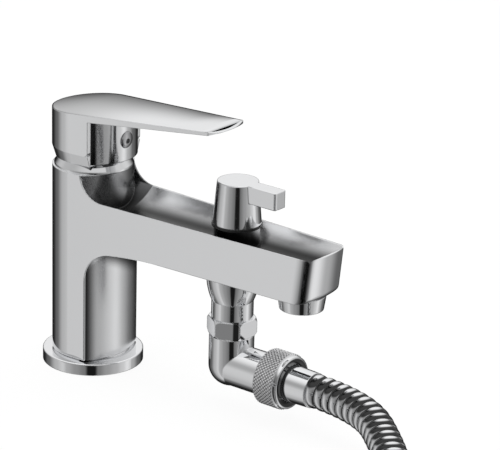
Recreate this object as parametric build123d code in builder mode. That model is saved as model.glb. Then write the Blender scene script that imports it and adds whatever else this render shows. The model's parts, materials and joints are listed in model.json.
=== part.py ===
from build123d import *
from math import cos, pi, radians, sin, sqrt, tan
import os

# Single-lever bath mixer: a one-hole body with a long channelled spout, a lift-and-turn lever over a
# ceramic disc cartridge, a quarter-turn diverter on the spout and a ribbed shower hose below it.
# Millimetres, +Z up, spout along +X, origin on the deck at the centre of the base.

os.makedirs("parts", exist_ok=True)

# Clearances
press_gap = 0.02
running_gap = 0.08
loose_gap = 0.3

# Base
base_r = 26.0
base_h = 6.1
base_edge_r = 0.7
spigot_r = 18.8
gasket_h = 1.2
gasket_out_r = 23.9
gasket_in_r = 20.1
gasket_gap = 0.1

# Column and neck
column_r = 21.15
side_taper = 0.042
column_edge_x = 11.6
neck_edge_x = 8.5
front_x = 18.5
rim_z = 106.5
foot_bevel = 1.2
port_y = 7.2
port_x = -2.5
port_r = 5.0
port_depth = 14.0
passage_r = 3.5
stud_x = -13.0
stud_r = 4.0
stud_depth = 20.0

# Spout
spout_len = 150.0
spout_bulge = 2.2
spout_corner_r = 4.0
spout_top_z = 94.2
spout_under_z = 70.6
spout_rake = 2.4
spout_nose_r = 3.5
nose_root_x = 110.0
arch_r = 18.3
arch_low_z = 50.1
arch_open_deg = 8.5
arch_flat_x = 60.0
shoulder_r = 14.0
trough_wall = 0.7
trough_floor_z = 86.4
trough_rise_x = 134.0
trough_end_x = spout_len - 1.4
trough_head = 9.0
channel_r = 4.5
channel_z = 78.0
channel_start_x = 6.0

# Cartridge of 25 mm size
cartridge_r = 12.5
chamber_gap = 0.2
chamber_floor_z = 83.0
seal_h = 1.0
seal_w = 2.4
plate_h = 1.5
disc_h = 2.0
fixed_disc_r = 10.8
moving_disc_r = 8.6
disc_seat_r = 11.0
disc_port_r = 2.4
disc_carrier_h = 2.2
carrier_flange_h = 1.1
carrier_flange_r = 10.7
carrier_r = 8.8
carrier_top_z = 106.0
cartridge_step_z = 98.0
cartridge_neck_r = 10.6
pivot_z = 97.0
pivot_r = 1.25
pivot_len = 16.6
stem_side = 7.0
stem_top_z = 131.0
stem_heel = 3.0
foot_ball_r = 1.4
foot_arm = 5.6
foot_rod_r = 1.0
swing_front = 6.0
swing_rear = 7.0
nut_thread_r = 14.8
nut_h = 7.0
nut_slot_w = 4.0

# Trim ring
trim_h = 4.5
trim_low_r = 20.4
trim_top_r = 18.2
trim_bore_r = 11.0
trim_spigot_h = 1.5

# Lever
lever_gap = 0.3
hub_r = 21.3
hub_lip_r = 19.5
hub_swell_h = 5.7
hub_edge_x = 13.2
hub_inset = 1.5
hub_front_x = 21.8
hub_front_z = 112.3
hub_cavity_r = 18.4
hub_cavity_top = 118.0
hub_core_r = 17.2
hub_boss_r = 7.6
hub_core_top = 131.5
plate_z = 137.6
plate_rise = 0.0773
plate_len = 84.5
plate_tip_w = 13.5
plate_tip_overhang = 2.6
plate_tip_bulge = 2.5
plate_root_z = 135.0
plate_tip_t = 1.6
recess_corner_r = 2.0
dish_depth = 1.8
dish_margin = 0.8
dish_stations = [0.995, 0.98, 0.95, 0.90, 0.83, 0.74, 0.62, 0.48, 0.30, 0.0]
index_z = 123.3
index_r = 4.3
index_h = 3.2
index_dome = 0.8
index_drop = 1.3
grub_r = 2.5
grub_len = 9.0

# Diverter
diverter_x = 93.0
diverter_boss_r = 11.4
diverter_boss_z = 95.9
diverter_bore_r = 7.5
diverter_floor_z = 73.0
core_h = 10.5
core_port_r = 3.6
spindle_r = 3.0
spindle_top_z = 112.0
o_ring_h = 2.0
bonnet_h = 8.0
glide_h = 0.95
glide_r = 12.5
knob_low_r = 12.1
knob_top_r = 10.2
knob_z = 97.0
knob_top_z = 118.6
tail_w = 8.5
tail_tip_x = 119.3
tail_low_z = 109.9
tail_root_r = 3.0
tail_tip_r = 1.2
knob_grub_r = 2.0
knob_grub_len = 5.5
knob_grub_z = 104.0

# Shower outlet
outlet_x = 91.4
outlet_top_r = 13.2
outlet_low_r = 10.6
outlet_z = 56.4
outlet_thread_r = 8.0
outlet_thread_z = 65.0
water_r = 5.0
collar_r = 10.5
collar_z = 47.3
tube_end_z = 42.5
nut_flats = 22.0
nut_z = 38.3
nut_lip_h = 1.9
nut_bore_r = 8.2
nut_hole_r = 6.8
nut_round = 1.0
washer_h = 1.3
elbow_neck_r = 6.5
elbow_flange_r = 7.8
elbow_flange_h = 1.0
elbow_leg_r = 11.3
elbow_arm_r = 10.8
elbow_z = 22.0
elbow_shoulder_x = 115.4
elbow_end_x = 124.0
elbow_thread_r = 10.2

# Aerator
aerator_x = spout_len - 16.1
aerator_low_r = 10.9
aerator_top_r = 12.0
aerator_z = 63.1
aerator_socket_r = 9.8
aerator_socket_z = 77.0
aerator_lip_r = 8.6
aerator_insert_h = 9.0
aerator_hole_r = 0.7

# Hose and its nuts
hose_r = 8.5
hose_bore_r = 4.5
rib_pitch = 5.0
rib_groove = 1.1
knurl_start_x = 115.8
knurl_end_x = 127.5
knurl_r = 14.2
knurl_lip_x = 129.7
knurl_lip_r = 13.3
knurl_hole_r = 9.6
seal_t = 1.5
ferrule_flange_r = 10.1
ferrule_root_r = 9.4
ferrule_tip_r = 8.9
ferrule_end_x = 143.4
end_ferrule_len = 15.0
cone_len = 46.0
cone_narrow_r = 9.8
cone_wide_r = 12.0
cone_socket_len = 10.0

# Handset and its wall bracket
handle_start = 2.0
handle_bend_r = 320.0
handle_bend_deg = 25.0
handle_radii = [(0.0, 16.0), (0.33, 15.2), (0.68, 12.6), (1.0, 10.8)]
spigot_len = 8.5
spigot_gap = 0.1
head_tilt_deg = 32.0
head_ahead = 33.0
head_above = 5.5
handle_root_len = 26.0
handle_root_r = 4.0
head_r = 45.0
head_back = 15.0
head_rim_h = 9.0
cavity_r = 41.5
cavity_floor = 3.0
face_r = 33.0
face_top = 10.0
ring_out_r = 41.2
ring_top = 10.3
tab_reach = 49.0
tab_w = 8.0
tab_h = 2.6
mat_in_r = 33.6
mat_out_r = 40.0
mat_h = 0.5
pip_r = 1.1
pip_h = 1.3
bracket_len = 30.0
bracket_w = 34.0
bracket_h = 42.0
bracket_gap = 0.15
bracket_mouth = 17.6
bracket_screw_r = 2.3
bracket_screw_x = 7.0
bracket_seat_z = 11.0

# Hose route: hand-placed points to the first loop, then loops of the put-away length
lie_z = hose_r + 0.1
hose_points = [
    (ferrule_end_x, 0.0, elbow_z),
    (174.4, 0.0, elbow_z),
    (203.0, -20.5, 16.0),
    (231.0, -48.5, 11.0),
    (268.7, -88.5, lie_z),
    (302.1, -128.3, lie_z),
]
coil_heading = -50.0
coil_r = 94.0
coil_pitch = 17.6
coil_turns_deg = 876.0
coil_steps = 10
coil_climb_deg = 180.0
tail_len = 30.0


def keep(piece, name):
    """Labels a finished piece and writes it under its own name."""
    piece.part.label = name
    export_step(piece.part, f"parts/{name}.step")


def half_width(x):
    """Half the width of the tapering flat sides at a distance along the spout."""
    return column_r * sqrt(1 + side_taper**2) - side_taper * x


def tangent_spot(r, taper):
    """Where a round of radius r meets a side that narrows at the given taper."""
    turn = 1 / sqrt(1 + taper**2)
    return r * taper * turn, r * turn


def trough_section(x, depth):
    """Outline across the spout of the hollow of its channel, open to above."""
    w = half_width(x) - trough_wall
    with BuildSketch(Plane(origin=(x, 0, 0), x_dir=(0, 1, 0), z_dir=(1, 0, 0))) as outline:
        with BuildLine():
            ThreePointArc((-w, spout_top_z), (0, spout_top_z - depth), (w, spout_top_z))
            Polyline(
                (w, spout_top_z),
                (w, rim_z + trough_head - 1),
                (-w, rim_z + trough_head - 1),
                (-w, spout_top_z),
            )
        make_face()
    return outline.sketch


# Base ring and its seal on the deck
with BuildPart() as base_ring:
    Cylinder(base_r, base_h, align=(Align.CENTER, Align.CENTER, Align.MIN))
    fillet(base_ring.edges().group_by(Axis.Z)[-1], base_edge_r)
    Cylinder(
        spigot_r + running_gap,
        base_h,
        align=(Align.CENTER, Align.CENTER, Align.MIN),
        mode=Mode.SUBTRACT,
    )
    with BuildSketch(Plane.XY):
        Circle(gasket_out_r + gasket_gap)
        Circle(gasket_in_r - gasket_gap, mode=Mode.SUBTRACT)
    extrude(amount=gasket_h, mode=Mode.SUBTRACT)
keep(base_ring, "base_ring")

with BuildPart() as base_gasket:
    with BuildSketch(Plane.XY):
        Circle(gasket_out_r)
        Circle(gasket_in_r, mode=Mode.SUBTRACT)
    extrude(amount=gasket_h)
keep(base_gasket, "base_gasket")

# Body: plan and side outlines crossed, then the column and neck, bosses, channel and water ways
side_x, side_y = tangent_spot(column_r, side_taper)
trough_near = trough_section(neck_edge_x, spout_top_z - trough_floor_z)
trough_far = trough_section(spout_len + 6, spout_top_z - trough_floor_z)

with BuildPart() as trough:
    add(trough_near)
    add(trough_far)
    loft(ruled=True)
    with BuildSketch(Plane.XZ) as trough_side:
        with BuildLine():
            Polyline(
                (trough_rise_x, trough_floor_z - 1),
                (0, trough_floor_z - 1),
                (0, rim_z + trough_head),
                (trough_end_x, rim_z + trough_head),
                (trough_end_x, spout_top_z),
            )
            ThreePointArc(
                (trough_end_x, spout_top_z),
                (trough_end_x - 5.0, trough_floor_z + 2.4),
                (trough_rise_x, trough_floor_z - 1),
            )
        make_face()
    extrude(amount=3 * column_r, both=True, mode=Mode.INTERSECT)


def d_section(edge_x):
    """Plan of the column: a round back, flat sides and a bowed front with two upright edges."""
    edge_y = half_width(edge_x)
    with BuildSketch() as outline:
        with BuildLine():
            ThreePointArc((side_x, side_y), (-column_r, 0), (side_x, -side_y))
            Line((side_x, -side_y), (edge_x, -edge_y))
            ThreePointArc((edge_x, -edge_y), (front_x, 0), (edge_x, edge_y))
            Line((edge_x, edge_y), (side_x, side_y))
        make_face()
    return outline.sketch


def arch_spot(open_deg):
    """Point of the arch under the spout, by its angle short of the upright through its centre."""
    turn = radians(open_deg)
    return (column_edge_x + arch_r * (1 - sin(turn)), arch_low_z + arch_r * cos(turn))


def nose_section(end_x, z):
    """Plan of the spout's nose at a height: flat sides, rounded corners and a bowed end."""
    side_end = end_x - spout_bulge
    end_y = half_width(side_end)
    with BuildSketch(Plane.XY.offset(z)) as outline:
        with BuildLine():
            Line((nose_root_x, half_width(nose_root_x)), (nose_root_x, -half_width(nose_root_x)))
            Line((nose_root_x, -half_width(nose_root_x)), (side_end, -end_y))
            ThreePointArc((side_end, -end_y), (end_x, 0), (side_end, end_y))
            Line((side_end, end_y), (nose_root_x, half_width(nose_root_x)))
        make_face()
        fillet(outline.vertices().group_by(Axis.X)[-1], spout_corner_r)
    return outline.sketch


with BuildPart() as nose:
    for round_deg in range(0, 91, 15):
        turn = radians(round_deg)
        rise = spout_nose_r * (1 - cos(turn))
        lean = spout_rake * (1 - rise / (spout_top_z - spout_under_z))
        add(nose_section(spout_len - lean - spout_nose_r * (1 - sin(turn)), spout_under_z + rise))
    add(nose_section(spout_len, spout_top_z))
    loft(ruled=True)

with BuildPart() as body:
    with BuildSketch(Plane.XY.offset(base_h)):
        with BuildLine():
            ThreePointArc((side_x, side_y), (-column_r, 0), (side_x, -side_y))
            Line((side_x, -side_y), (nose_root_x, -half_width(nose_root_x)))
            Line((nose_root_x, -half_width(nose_root_x)), (nose_root_x, half_width(nose_root_x)))
            Line((nose_root_x, half_width(nose_root_x)), (side_x, side_y))
        make_face()
    extrude(amount=rim_z - base_h)
    with BuildSketch(Plane.XZ):
        with BuildLine():
            Polyline((-2 * column_r, base_h), (column_edge_x, base_h), (column_edge_x, arch_low_z))
            arch = ThreePointArc(
                (column_edge_x, arch_low_z), arch_spot(0.5 * (90 + arch_open_deg)), arch_spot(arch_open_deg)
            )
            TangentArc(arch @ 1, (arch_flat_x, spout_under_z), tangent=arch % 1)
            Polyline(
                (arch_flat_x, spout_under_z),
                (spout_len + 1, spout_under_z),
                (spout_len + 1, spout_top_z),
                (neck_edge_x + shoulder_r, spout_top_z),
            )
            ThreePointArc(
                (neck_edge_x + shoulder_r, spout_top_z),
                (
                    neck_edge_x + shoulder_r * (1 - sqrt(0.5)),
                    spout_top_z + shoulder_r * (1 - sqrt(0.5)),
                ),
                (neck_edge_x, spout_top_z + shoulder_r),
            )
            Polyline(
                (neck_edge_x, spout_top_z + shoulder_r),
                (-2 * column_r, spout_top_z + shoulder_r),
                (-2 * column_r, base_h),
            )
        make_face()
    extrude(amount=3 * column_r, both=True, mode=Mode.INTERSECT)
    add(nose.part)
    add(trough.part, mode=Mode.SUBTRACT)
    with BuildSketch(Plane.XY.offset(base_h)):
        add(d_section(column_edge_x))
    extrude(amount=spout_under_z + 4 - base_h)
    with BuildSketch(Plane.XY.offset(spout_under_z + 6)):
        add(d_section(neck_edge_x))
    extrude(amount=rim_z - spout_under_z - 6)
    chamfer(body.edges().filter_by(Plane.XY).group_by(Axis.Z)[0], foot_bevel)
    # Round boss under the diverter knob and bowl-shaped boss over the shower outlet
    with BuildSketch(Plane.XY.offset(channel_z)):
        with Locations((diverter_x, 0)):
            Circle(diverter_boss_r)
    extrude(amount=diverter_boss_z - channel_z)
    with BuildSketch(Plane(origin=(outlet_x, 0, 0), x_dir=(1, 0, 0), z_dir=(0, -1, 0))):
        with BuildLine():
            ThreePointArc(
                (outlet_top_r, spout_under_z),
                (outlet_top_r - 0.45, 0.5 * (spout_under_z + outlet_z)),
                (outlet_low_r, outlet_z),
            )
            Polyline(
                (outlet_low_r, outlet_z),
                (0, outlet_z),
                (0, spout_under_z + 1),
                (outlet_top_r, spout_under_z + 1),
                (outlet_top_r, spout_under_z),
            )
        make_face()
    revolve(axis=Axis((outlet_x, 0, 0), (0, 0, 1)))
    # Spigot that centres the base ring
    with BuildSketch(Plane.XY):
        Circle(spigot_r)
    extrude(amount=base_h + 0.5)
    # Cartridge chamber with the wider thread above it
    with BuildSketch(Plane.XY.offset(chamber_floor_z)):
        Circle(cartridge_r + chamber_gap)
    extrude(amount=rim_z, mode=Mode.SUBTRACT)
    with BuildSketch(Plane.XY.offset(cartridge_step_z)):
        Circle(nut_thread_r + chamber_gap)
    extrude(amount=rim_z, mode=Mode.SUBTRACT)
    # Hot and cold ways up the column, and the stud hole
    with BuildSketch(Plane.XY):
        with Locations((port_x, port_y), (port_x, -port_y)):
            Circle(port_r)
    extrude(amount=port_depth, mode=Mode.SUBTRACT)
    with BuildSketch(Plane.XY):
        with Locations((port_x, port_y), (port_x, -port_y)):
            Circle(passage_r)
    extrude(amount=chamber_floor_z, mode=Mode.SUBTRACT)
    with BuildSketch(Plane.XY):
        with Locations((stud_x, 0)):
            Circle(stud_r)
    extrude(amount=stud_depth, mode=Mode.SUBTRACT)
    # Mixed water: down from the cartridge, along the spout, out at the aerator or the shower outlet
    with BuildSketch(Plane.XY.offset(channel_z)):
        with Locations((channel_start_x, 0)):
            Circle(passage_r)
    extrude(amount=chamber_floor_z - channel_z + 1, mode=Mode.SUBTRACT)
    with BuildSketch(Plane.YZ.offset(channel_start_x)):
        with Locations((0, channel_z)):
            Circle(channel_r)
    extrude(amount=aerator_x - channel_start_x, mode=Mode.SUBTRACT)
    with BuildSketch(Plane.XY.offset(spout_under_z - 2)):
        with Locations((aerator_x, 0)):
            Circle(aerator_socket_r)
    extrude(amount=aerator_socket_z - spout_under_z + 2, mode=Mode.SUBTRACT)
    with BuildSketch(Plane.XY.offset(diverter_floor_z)):
        with Locations((diverter_x, 0)):
            Circle(diverter_bore_r)
    extrude(amount=rim_z, mode=Mode.SUBTRACT)
    with BuildSketch(Plane.XY.offset(outlet_z)):
        with Locations((outlet_x, 0)):
            Circle(outlet_thread_r)
    extrude(amount=outlet_thread_z - outlet_z, mode=Mode.SUBTRACT)
    with BuildSketch(Plane.XY.offset(outlet_z)):
        with Locations((outlet_x, 0)):
            Circle(water_r)
    extrude(amount=diverter_floor_z + 1 - outlet_z, mode=Mode.SUBTRACT)
keep(body, "body")

# Cartridge, from its seal up
plate_z0 = chamber_floor_z + seal_h
fixed_z = plate_z0 + plate_h
moving_z = fixed_z + disc_h
disc_carrier_z = moving_z + disc_h
flange_z = disc_carrier_z + disc_carrier_h + 0.1
barrel_z = flange_z + carrier_flange_h

with BuildPart() as cartridge_seal:
    with BuildSketch(Plane.XY.offset(chamber_floor_z)):
        Circle(cartridge_r - 0.1)
        Circle(cartridge_r - seal_w, mode=Mode.SUBTRACT)
    extrude(amount=seal_h)
keep(cartridge_seal, "cartridge_seal")

port_spots = [(port_x, 6.0), (port_x, -6.0), (channel_start_x, 0)]

with BuildPart() as cartridge_base:
    with BuildSketch(Plane.XY.offset(plate_z0)):
        Circle(cartridge_r)
        with Locations(*port_spots):
            Circle(disc_port_r, mode=Mode.SUBTRACT)
    extrude(amount=plate_h)
keep(cartridge_base, "cartridge_base")

with BuildPart() as fixed_disc:
    with BuildSketch(Plane.XY.offset(fixed_z)):
        Circle(fixed_disc_r)
        with Locations(*port_spots):
            Circle(disc_port_r, mode=Mode.SUBTRACT)
    extrude(amount=disc_h)
keep(fixed_disc, "fixed_disc")

with BuildPart() as moving_disc:
    with BuildSketch(Plane.XY.offset(moving_z)):
        Circle(moving_disc_r)
    extrude(amount=disc_h)
    with BuildSketch(Plane.XY.offset(moving_z)):
        SlotCenterToCenter(5.0, 4.0)
    extrude(amount=0.5 * disc_h, mode=Mode.SUBTRACT)
keep(moving_disc, "moving_disc")

with BuildPart() as disc_carrier:
    with BuildSketch(Plane.XY.offset(disc_carrier_z)):
        Circle(moving_disc_r)
        Circle(foot_ball_r + 0.2, mode=Mode.SUBTRACT)
    extrude(amount=disc_carrier_h)
keep(disc_carrier, "disc_carrier")

with BuildPart() as cartridge_housing:
    with BuildSketch(Plane.XZ):
        with BuildLine():
            Polyline(
                (disc_seat_r, fixed_z),
                (cartridge_r, fixed_z),
                (cartridge_r, cartridge_step_z),
                (cartridge_neck_r, cartridge_step_z),
                (cartridge_neck_r, carrier_top_z),
                (carrier_r + running_gap, carrier_top_z),
                (carrier_r + running_gap, barrel_z + 0.1),
                (disc_seat_r, barrel_z + 0.1),
                close=True,
            )
        make_face()
    revolve(axis=Axis.Z)
keep(cartridge_housing, "cartridge_housing")

with BuildPart() as stem_carrier:
    with BuildSketch(Plane.XY.offset(flange_z)):
        Circle(carrier_flange_r)
    extrude(amount=carrier_flange_h)
    with BuildSketch(Plane.XY.offset(barrel_z)):
        Circle(carrier_r)
    extrude(amount=carrier_top_z - barrel_z)
    with BuildSketch(Plane.XY.offset(flange_z)):
        with Locations((0.5 * (swing_front - swing_rear), 0)):
            Rectangle(swing_front + swing_rear, stem_side + 2 * running_gap)
    extrude(amount=carrier_top_z - flange_z, mode=Mode.SUBTRACT)
    with BuildSketch(Plane.XZ):
        with Locations((0, pivot_z)):
            Circle(pivot_r + press_gap)
    extrude(amount=0.5 * pivot_len + press_gap, both=True, mode=Mode.SUBTRACT)
keep(stem_carrier, "stem_carrier")

with BuildPart() as pivot_pin:
    with BuildSketch(Plane.XZ):
        with Locations((0, pivot_z)):
            Circle(pivot_r)
    extrude(amount=0.5 * pivot_len, both=True)
keep(pivot_pin, "pivot_pin")

with BuildPart() as lever_stem:
    with BuildSketch(Plane.XY.offset(pivot_z - stem_heel)):
        Rectangle(stem_side, stem_side)
    extrude(amount=stem_top_z - pivot_z + stem_heel)
    with BuildSketch(Plane.XY.offset(pivot_z - foot_arm)):
        Circle(foot_rod_r)
    extrude(amount=foot_arm)
    with Locations((0, 0, pivot_z - foot_arm)):
        Sphere(foot_ball_r)
    with BuildSketch(Plane.XZ):
        with Locations((0, pivot_z)):
            Circle(pivot_r + running_gap)
    extrude(amount=stem_side, both=True, mode=Mode.SUBTRACT)
keep(lever_stem, "lever_stem")

with BuildPart() as cartridge_nut:
    with BuildSketch(Plane.XY.offset(cartridge_step_z)):
        Circle(nut_thread_r)
        Circle(cartridge_neck_r + chamber_gap, mode=Mode.SUBTRACT)
    extrude(amount=nut_h)
    with BuildSketch(Plane.XY.offset(cartridge_step_z + 0.6 * nut_h)):
        with PolarLocations(nut_thread_r, 4):
            Rectangle(nut_slot_w, nut_slot_w)
    extrude(amount=nut_h, mode=Mode.SUBTRACT)
keep(cartridge_nut, "cartridge_nut")

trim_top_z = rim_z + trim_h
with BuildPart() as trim_ring:
    with BuildSketch(Plane.XZ):
        with BuildLine():
            Polyline(
                (trim_bore_r, rim_z - trim_spigot_h),
                (nut_thread_r, rim_z - trim_spigot_h),
                (nut_thread_r, rim_z),
                (trim_low_r, rim_z),
                (trim_low_r - 0.2, rim_z + 1.0),
                (trim_top_r, trim_top_z),
                (trim_bore_r, trim_top_z),
                close=True,
            )
        make_face()
    revolve(axis=Axis.Z)
keep(trim_ring, "trim_ring")

# Lever: a hollow hub with a bowed front set back from its sides, under a long tapering plate
plate_taper = (hub_r - plate_tip_w) / plate_len
lever_x, lever_y = tangent_spot(hub_r, plate_taper)
hub_edge_y = lever_y - plate_taper * (hub_edge_x - lever_x)
lip_scale = hub_lip_r / hub_r
lip_z = trim_top_z + lever_gap
swell_z = lip_z + hub_swell_h
tip_x = plate_len + plate_tip_overhang


def lever_top(x):
    """Height of the rim of the plate above the deck."""
    return plate_z + plate_rise * x


def hub_section(scale):
    """Plan of the hub behind its front recess."""
    x = scale * lever_x
    y = scale * lever_y
    edge_y = scale * hub_edge_y
    with BuildSketch() as outline:
        with BuildLine():
            ThreePointArc((x, y), (-scale * hub_r, 0), (x, -y))
            Polyline((x, -y), (hub_edge_x, -edge_y), (hub_edge_x, edge_y), (x, y))
        make_face()
    return outline.sketch


def dish_section(x):
    """Outline across the plate of the shallow hollow in its top."""
    if x < 0:
        w = sqrt((hub_r - dish_margin) ** 2 - x**2)
        depth = dish_depth * w / (hub_r - dish_margin)
    else:
        w = lever_y - plate_taper * x - dish_margin
        depth = dish_depth * (1 - 0.5 * x / tip_x)
    z = lever_top(x)
    with BuildSketch(Plane(origin=(x, 0, 0), x_dir=(0, 1, 0), z_dir=(1, 0, 0))) as outline:
        with BuildLine():
            ThreePointArc((-w, z), (0, z - depth), (w, z))
            Polyline((w, z), (w, z + 9), (-w, z + 9), (-w, z))
        make_face()
    return outline.sketch


with BuildPart() as dish:
    for share in dish_stations:
        add(dish_section(-share * (hub_r - dish_margin)))
    add(dish_section(tip_x + 1))
    loft(ruled=True)

with BuildPart() as lever:
    with BuildSketch(Plane.XY.offset(swell_z)):
        with BuildLine():
            ThreePointArc((lever_x, lever_y), (-hub_r, 0), (lever_x, -lever_y))
            tip_side = lever_y - plate_taper * (tip_x - plate_tip_bulge - lever_x)
            Line((lever_x, -lever_y), (tip_x - plate_tip_bulge, -tip_side))
            ThreePointArc(
                (tip_x - plate_tip_bulge, -tip_side), (tip_x, 0), (tip_x - plate_tip_bulge, tip_side)
            )
            Line((tip_x - plate_tip_bulge, tip_side), (lever_x, lever_y))
        make_face()
    extrude(amount=2 * hub_swell_h + plate_z - swell_z)
    with BuildSketch(Plane.XZ) as lever_side:
        with BuildLine():
            Polyline(
                (-2 * hub_r, swell_z),
                (hub_edge_x, swell_z),
                (hub_edge_x, plate_root_z),
                (tip_x, lever_top(tip_x) - plate_tip_t),
                (plate_len, lever_top(plate_len)),
                (-2 * hub_r, lever_top(-2 * hub_r)),
                close=True,
            )
        make_face()
        root = lever_side.vertices().sort_by_distance((hub_edge_x, 0, plate_root_z))[0]
        fillet(root, recess_corner_r)
    extrude(amount=2 * hub_r, both=True, mode=Mode.INTERSECT)
    with BuildSketch(Plane.XY.offset(lip_z)):
        add(hub_section(lip_scale))
    with BuildSketch(Plane.XY.offset(swell_z)):
        add(hub_section(1))
    loft(ruled=True)
    # Bowed front, set back from the side walls and rounded below
    with BuildSketch(Plane.XY.offset(hub_front_z)):
        with BuildLine():
            front_y = hub_edge_y - hub_inset
            ThreePointArc(
                (hub_edge_x - 1, -front_y), (hub_front_x, 0), (hub_edge_x - 1, front_y)
            )
            Polyline(
                (hub_edge_x - 1, front_y),
                (0, front_y - 1),
                (0, -front_y + 1),
                (hub_edge_x - 1, -front_y),
            )
        make_face()
    extrude(amount=plate_root_z + 1 - hub_front_z)
    add(dish.part, mode=Mode.SUBTRACT)
    # Hollow of the hub, its core and the socket for the stem
    with BuildSketch(Plane.XY.offset(lip_z - 1)):
        Circle(hub_cavity_r)
    extrude(amount=hub_cavity_top - lip_z + 1, mode=Mode.SUBTRACT)
    with BuildSketch(Plane.XY.offset(hub_cavity_top)):
        Circle(hub_core_r)
        Circle(hub_boss_r, mode=Mode.SUBTRACT)
    extrude(amount=hub_core_top - hub_cavity_top, mode=Mode.SUBTRACT)
    with BuildSketch(Plane.XY.offset(hub_cavity_top)):
        Rectangle(stem_side + 2 * press_gap, stem_side + 2 * press_gap)
    extrude(amount=stem_top_z + 0.2 - hub_cavity_top, mode=Mode.SUBTRACT)
    with BuildSketch(Plane.YZ):
        with Locations((0, index_z)):
            Circle(grub_r + press_gap)
    extrude(amount=hub_front_x + 1, mode=Mode.SUBTRACT)
    with BuildSketch(Plane.YZ.offset(hub_front_x - index_h)):
        with Locations((0, index_z)):
            Circle(index_r + press_gap)
    extrude(amount=index_h + 1, mode=Mode.SUBTRACT)
keep(lever, "lever")

grub_x = 0.5 * stem_side + press_gap
with BuildPart() as lever_screw:
    with BuildSketch(Plane.YZ.offset(grub_x)):
        with Locations((0, index_z)):
            Circle(grub_r)
    extrude(amount=grub_len)
    with BuildSketch(Plane.YZ.offset(grub_x + grub_len - 2.5)):
        with Locations((0, index_z)):
            RegularPolygon(1.25, 6, major_radius=False)
    extrude(amount=3, mode=Mode.SUBTRACT)
keep(lever_screw, "lever_screw")

with BuildPart() as index_button:
    with BuildSketch(Plane.XZ):
        with BuildLine():
            Polyline(
                (hub_front_x + 0.1, index_z),
                (hub_front_x - index_h, index_z),
                (hub_front_x - index_h, index_z + index_r),
                (hub_front_x, index_z + index_r),
            )
            ThreePointArc(
                (hub_front_x, index_z + index_r),
                (hub_front_x + 0.75 * index_dome, index_z + 0.6 * index_r),
                (hub_front_x + index_dome, index_z),
            )
            Line((hub_front_x + index_dome, index_z), (hub_front_x + 0.1, index_z))
        make_face()
    revolve(axis=Axis((0, 0, index_z), (1, 0, 0)))
    with BuildSketch(Plane.YZ.offset(hub_front_x + 0.4 * index_dome)):
        with Locations((0, index_z - 0.6)):
            Circle(index_drop)
    extrude(amount=2, mode=Mode.SUBTRACT)
keep(index_button, "index_button")

with BuildPart() as index_dot:
    with BuildSketch(Plane.YZ.offset(hub_front_x + 0.4 * index_dome)):
        with Locations((0, index_z - 0.6)):
            Circle(index_drop - press_gap)
    extrude(amount=0.5 * index_dome)
keep(index_dot, "index_dot")

# Diverter: core and spindle, seal, bonnet, glide washer and knob
core_z = diverter_floor_z + loose_gap
o_ring_z = core_z + core_h + loose_gap
bonnet_z = diverter_boss_z - bonnet_h
diverter_axis = Axis((diverter_x, 0, 0), (0, 0, 1))

with BuildPart() as diverter_spindle:
    with BuildSketch(Plane.XY.offset(core_z)):
        with Locations((diverter_x, 0)):
            Circle(diverter_bore_r - loose_gap)
    extrude(amount=core_h)
    with BuildSketch(Plane.XY.offset(core_z)):
        with Locations((diverter_x, 0)):
            Circle(spindle_r)
    extrude(amount=spindle_top_z - core_z)
    with BuildSketch(Plane.YZ.offset(diverter_x - diverter_bore_r)):
        with Locations((0, channel_z)):
            Circle(core_port_r)
    extrude(amount=2 * diverter_bore_r, mode=Mode.SUBTRACT)
    with BuildSketch(Plane.XZ.offset(-diverter_bore_r)):
        with Locations((diverter_x, channel_z)):
            Circle(0.6 * core_port_r)
    extrude(amount=diverter_bore_r, mode=Mode.SUBTRACT)
keep(diverter_spindle, "diverter_spindle")

with BuildPart() as diverter_seal:
    with BuildSketch(Plane.XY.offset(bonnet_z - o_ring_h)):
        with Locations((diverter_x, 0)):
            Circle(diverter_bore_r - 0.1)
            Circle(spindle_r + loose_gap, mode=Mode.SUBTRACT)
    extrude(amount=o_ring_h)
keep(diverter_seal, "diverter_seal")

with BuildPart() as diverter_bonnet:
    with BuildSketch(Plane.XY.offset(bonnet_z)):
        with Locations((diverter_x, 0)):
            Circle(diverter_bore_r - 0.1)
            Circle(spindle_r + running_gap, mode=Mode.SUBTRACT)
    extrude(amount=bonnet_h)
keep(diverter_bonnet, "diverter_bonnet")

with BuildPart() as glide_washer:
    with BuildSketch(Plane.XY.offset(diverter_boss_z)):
        with Locations((diverter_x, 0)):
            Circle(glide_r)
            Circle(spindle_r + loose_gap, mode=Mode.SUBTRACT)
    extrude(amount=glide_h)
keep(glide_washer, "glide_washer")

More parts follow.
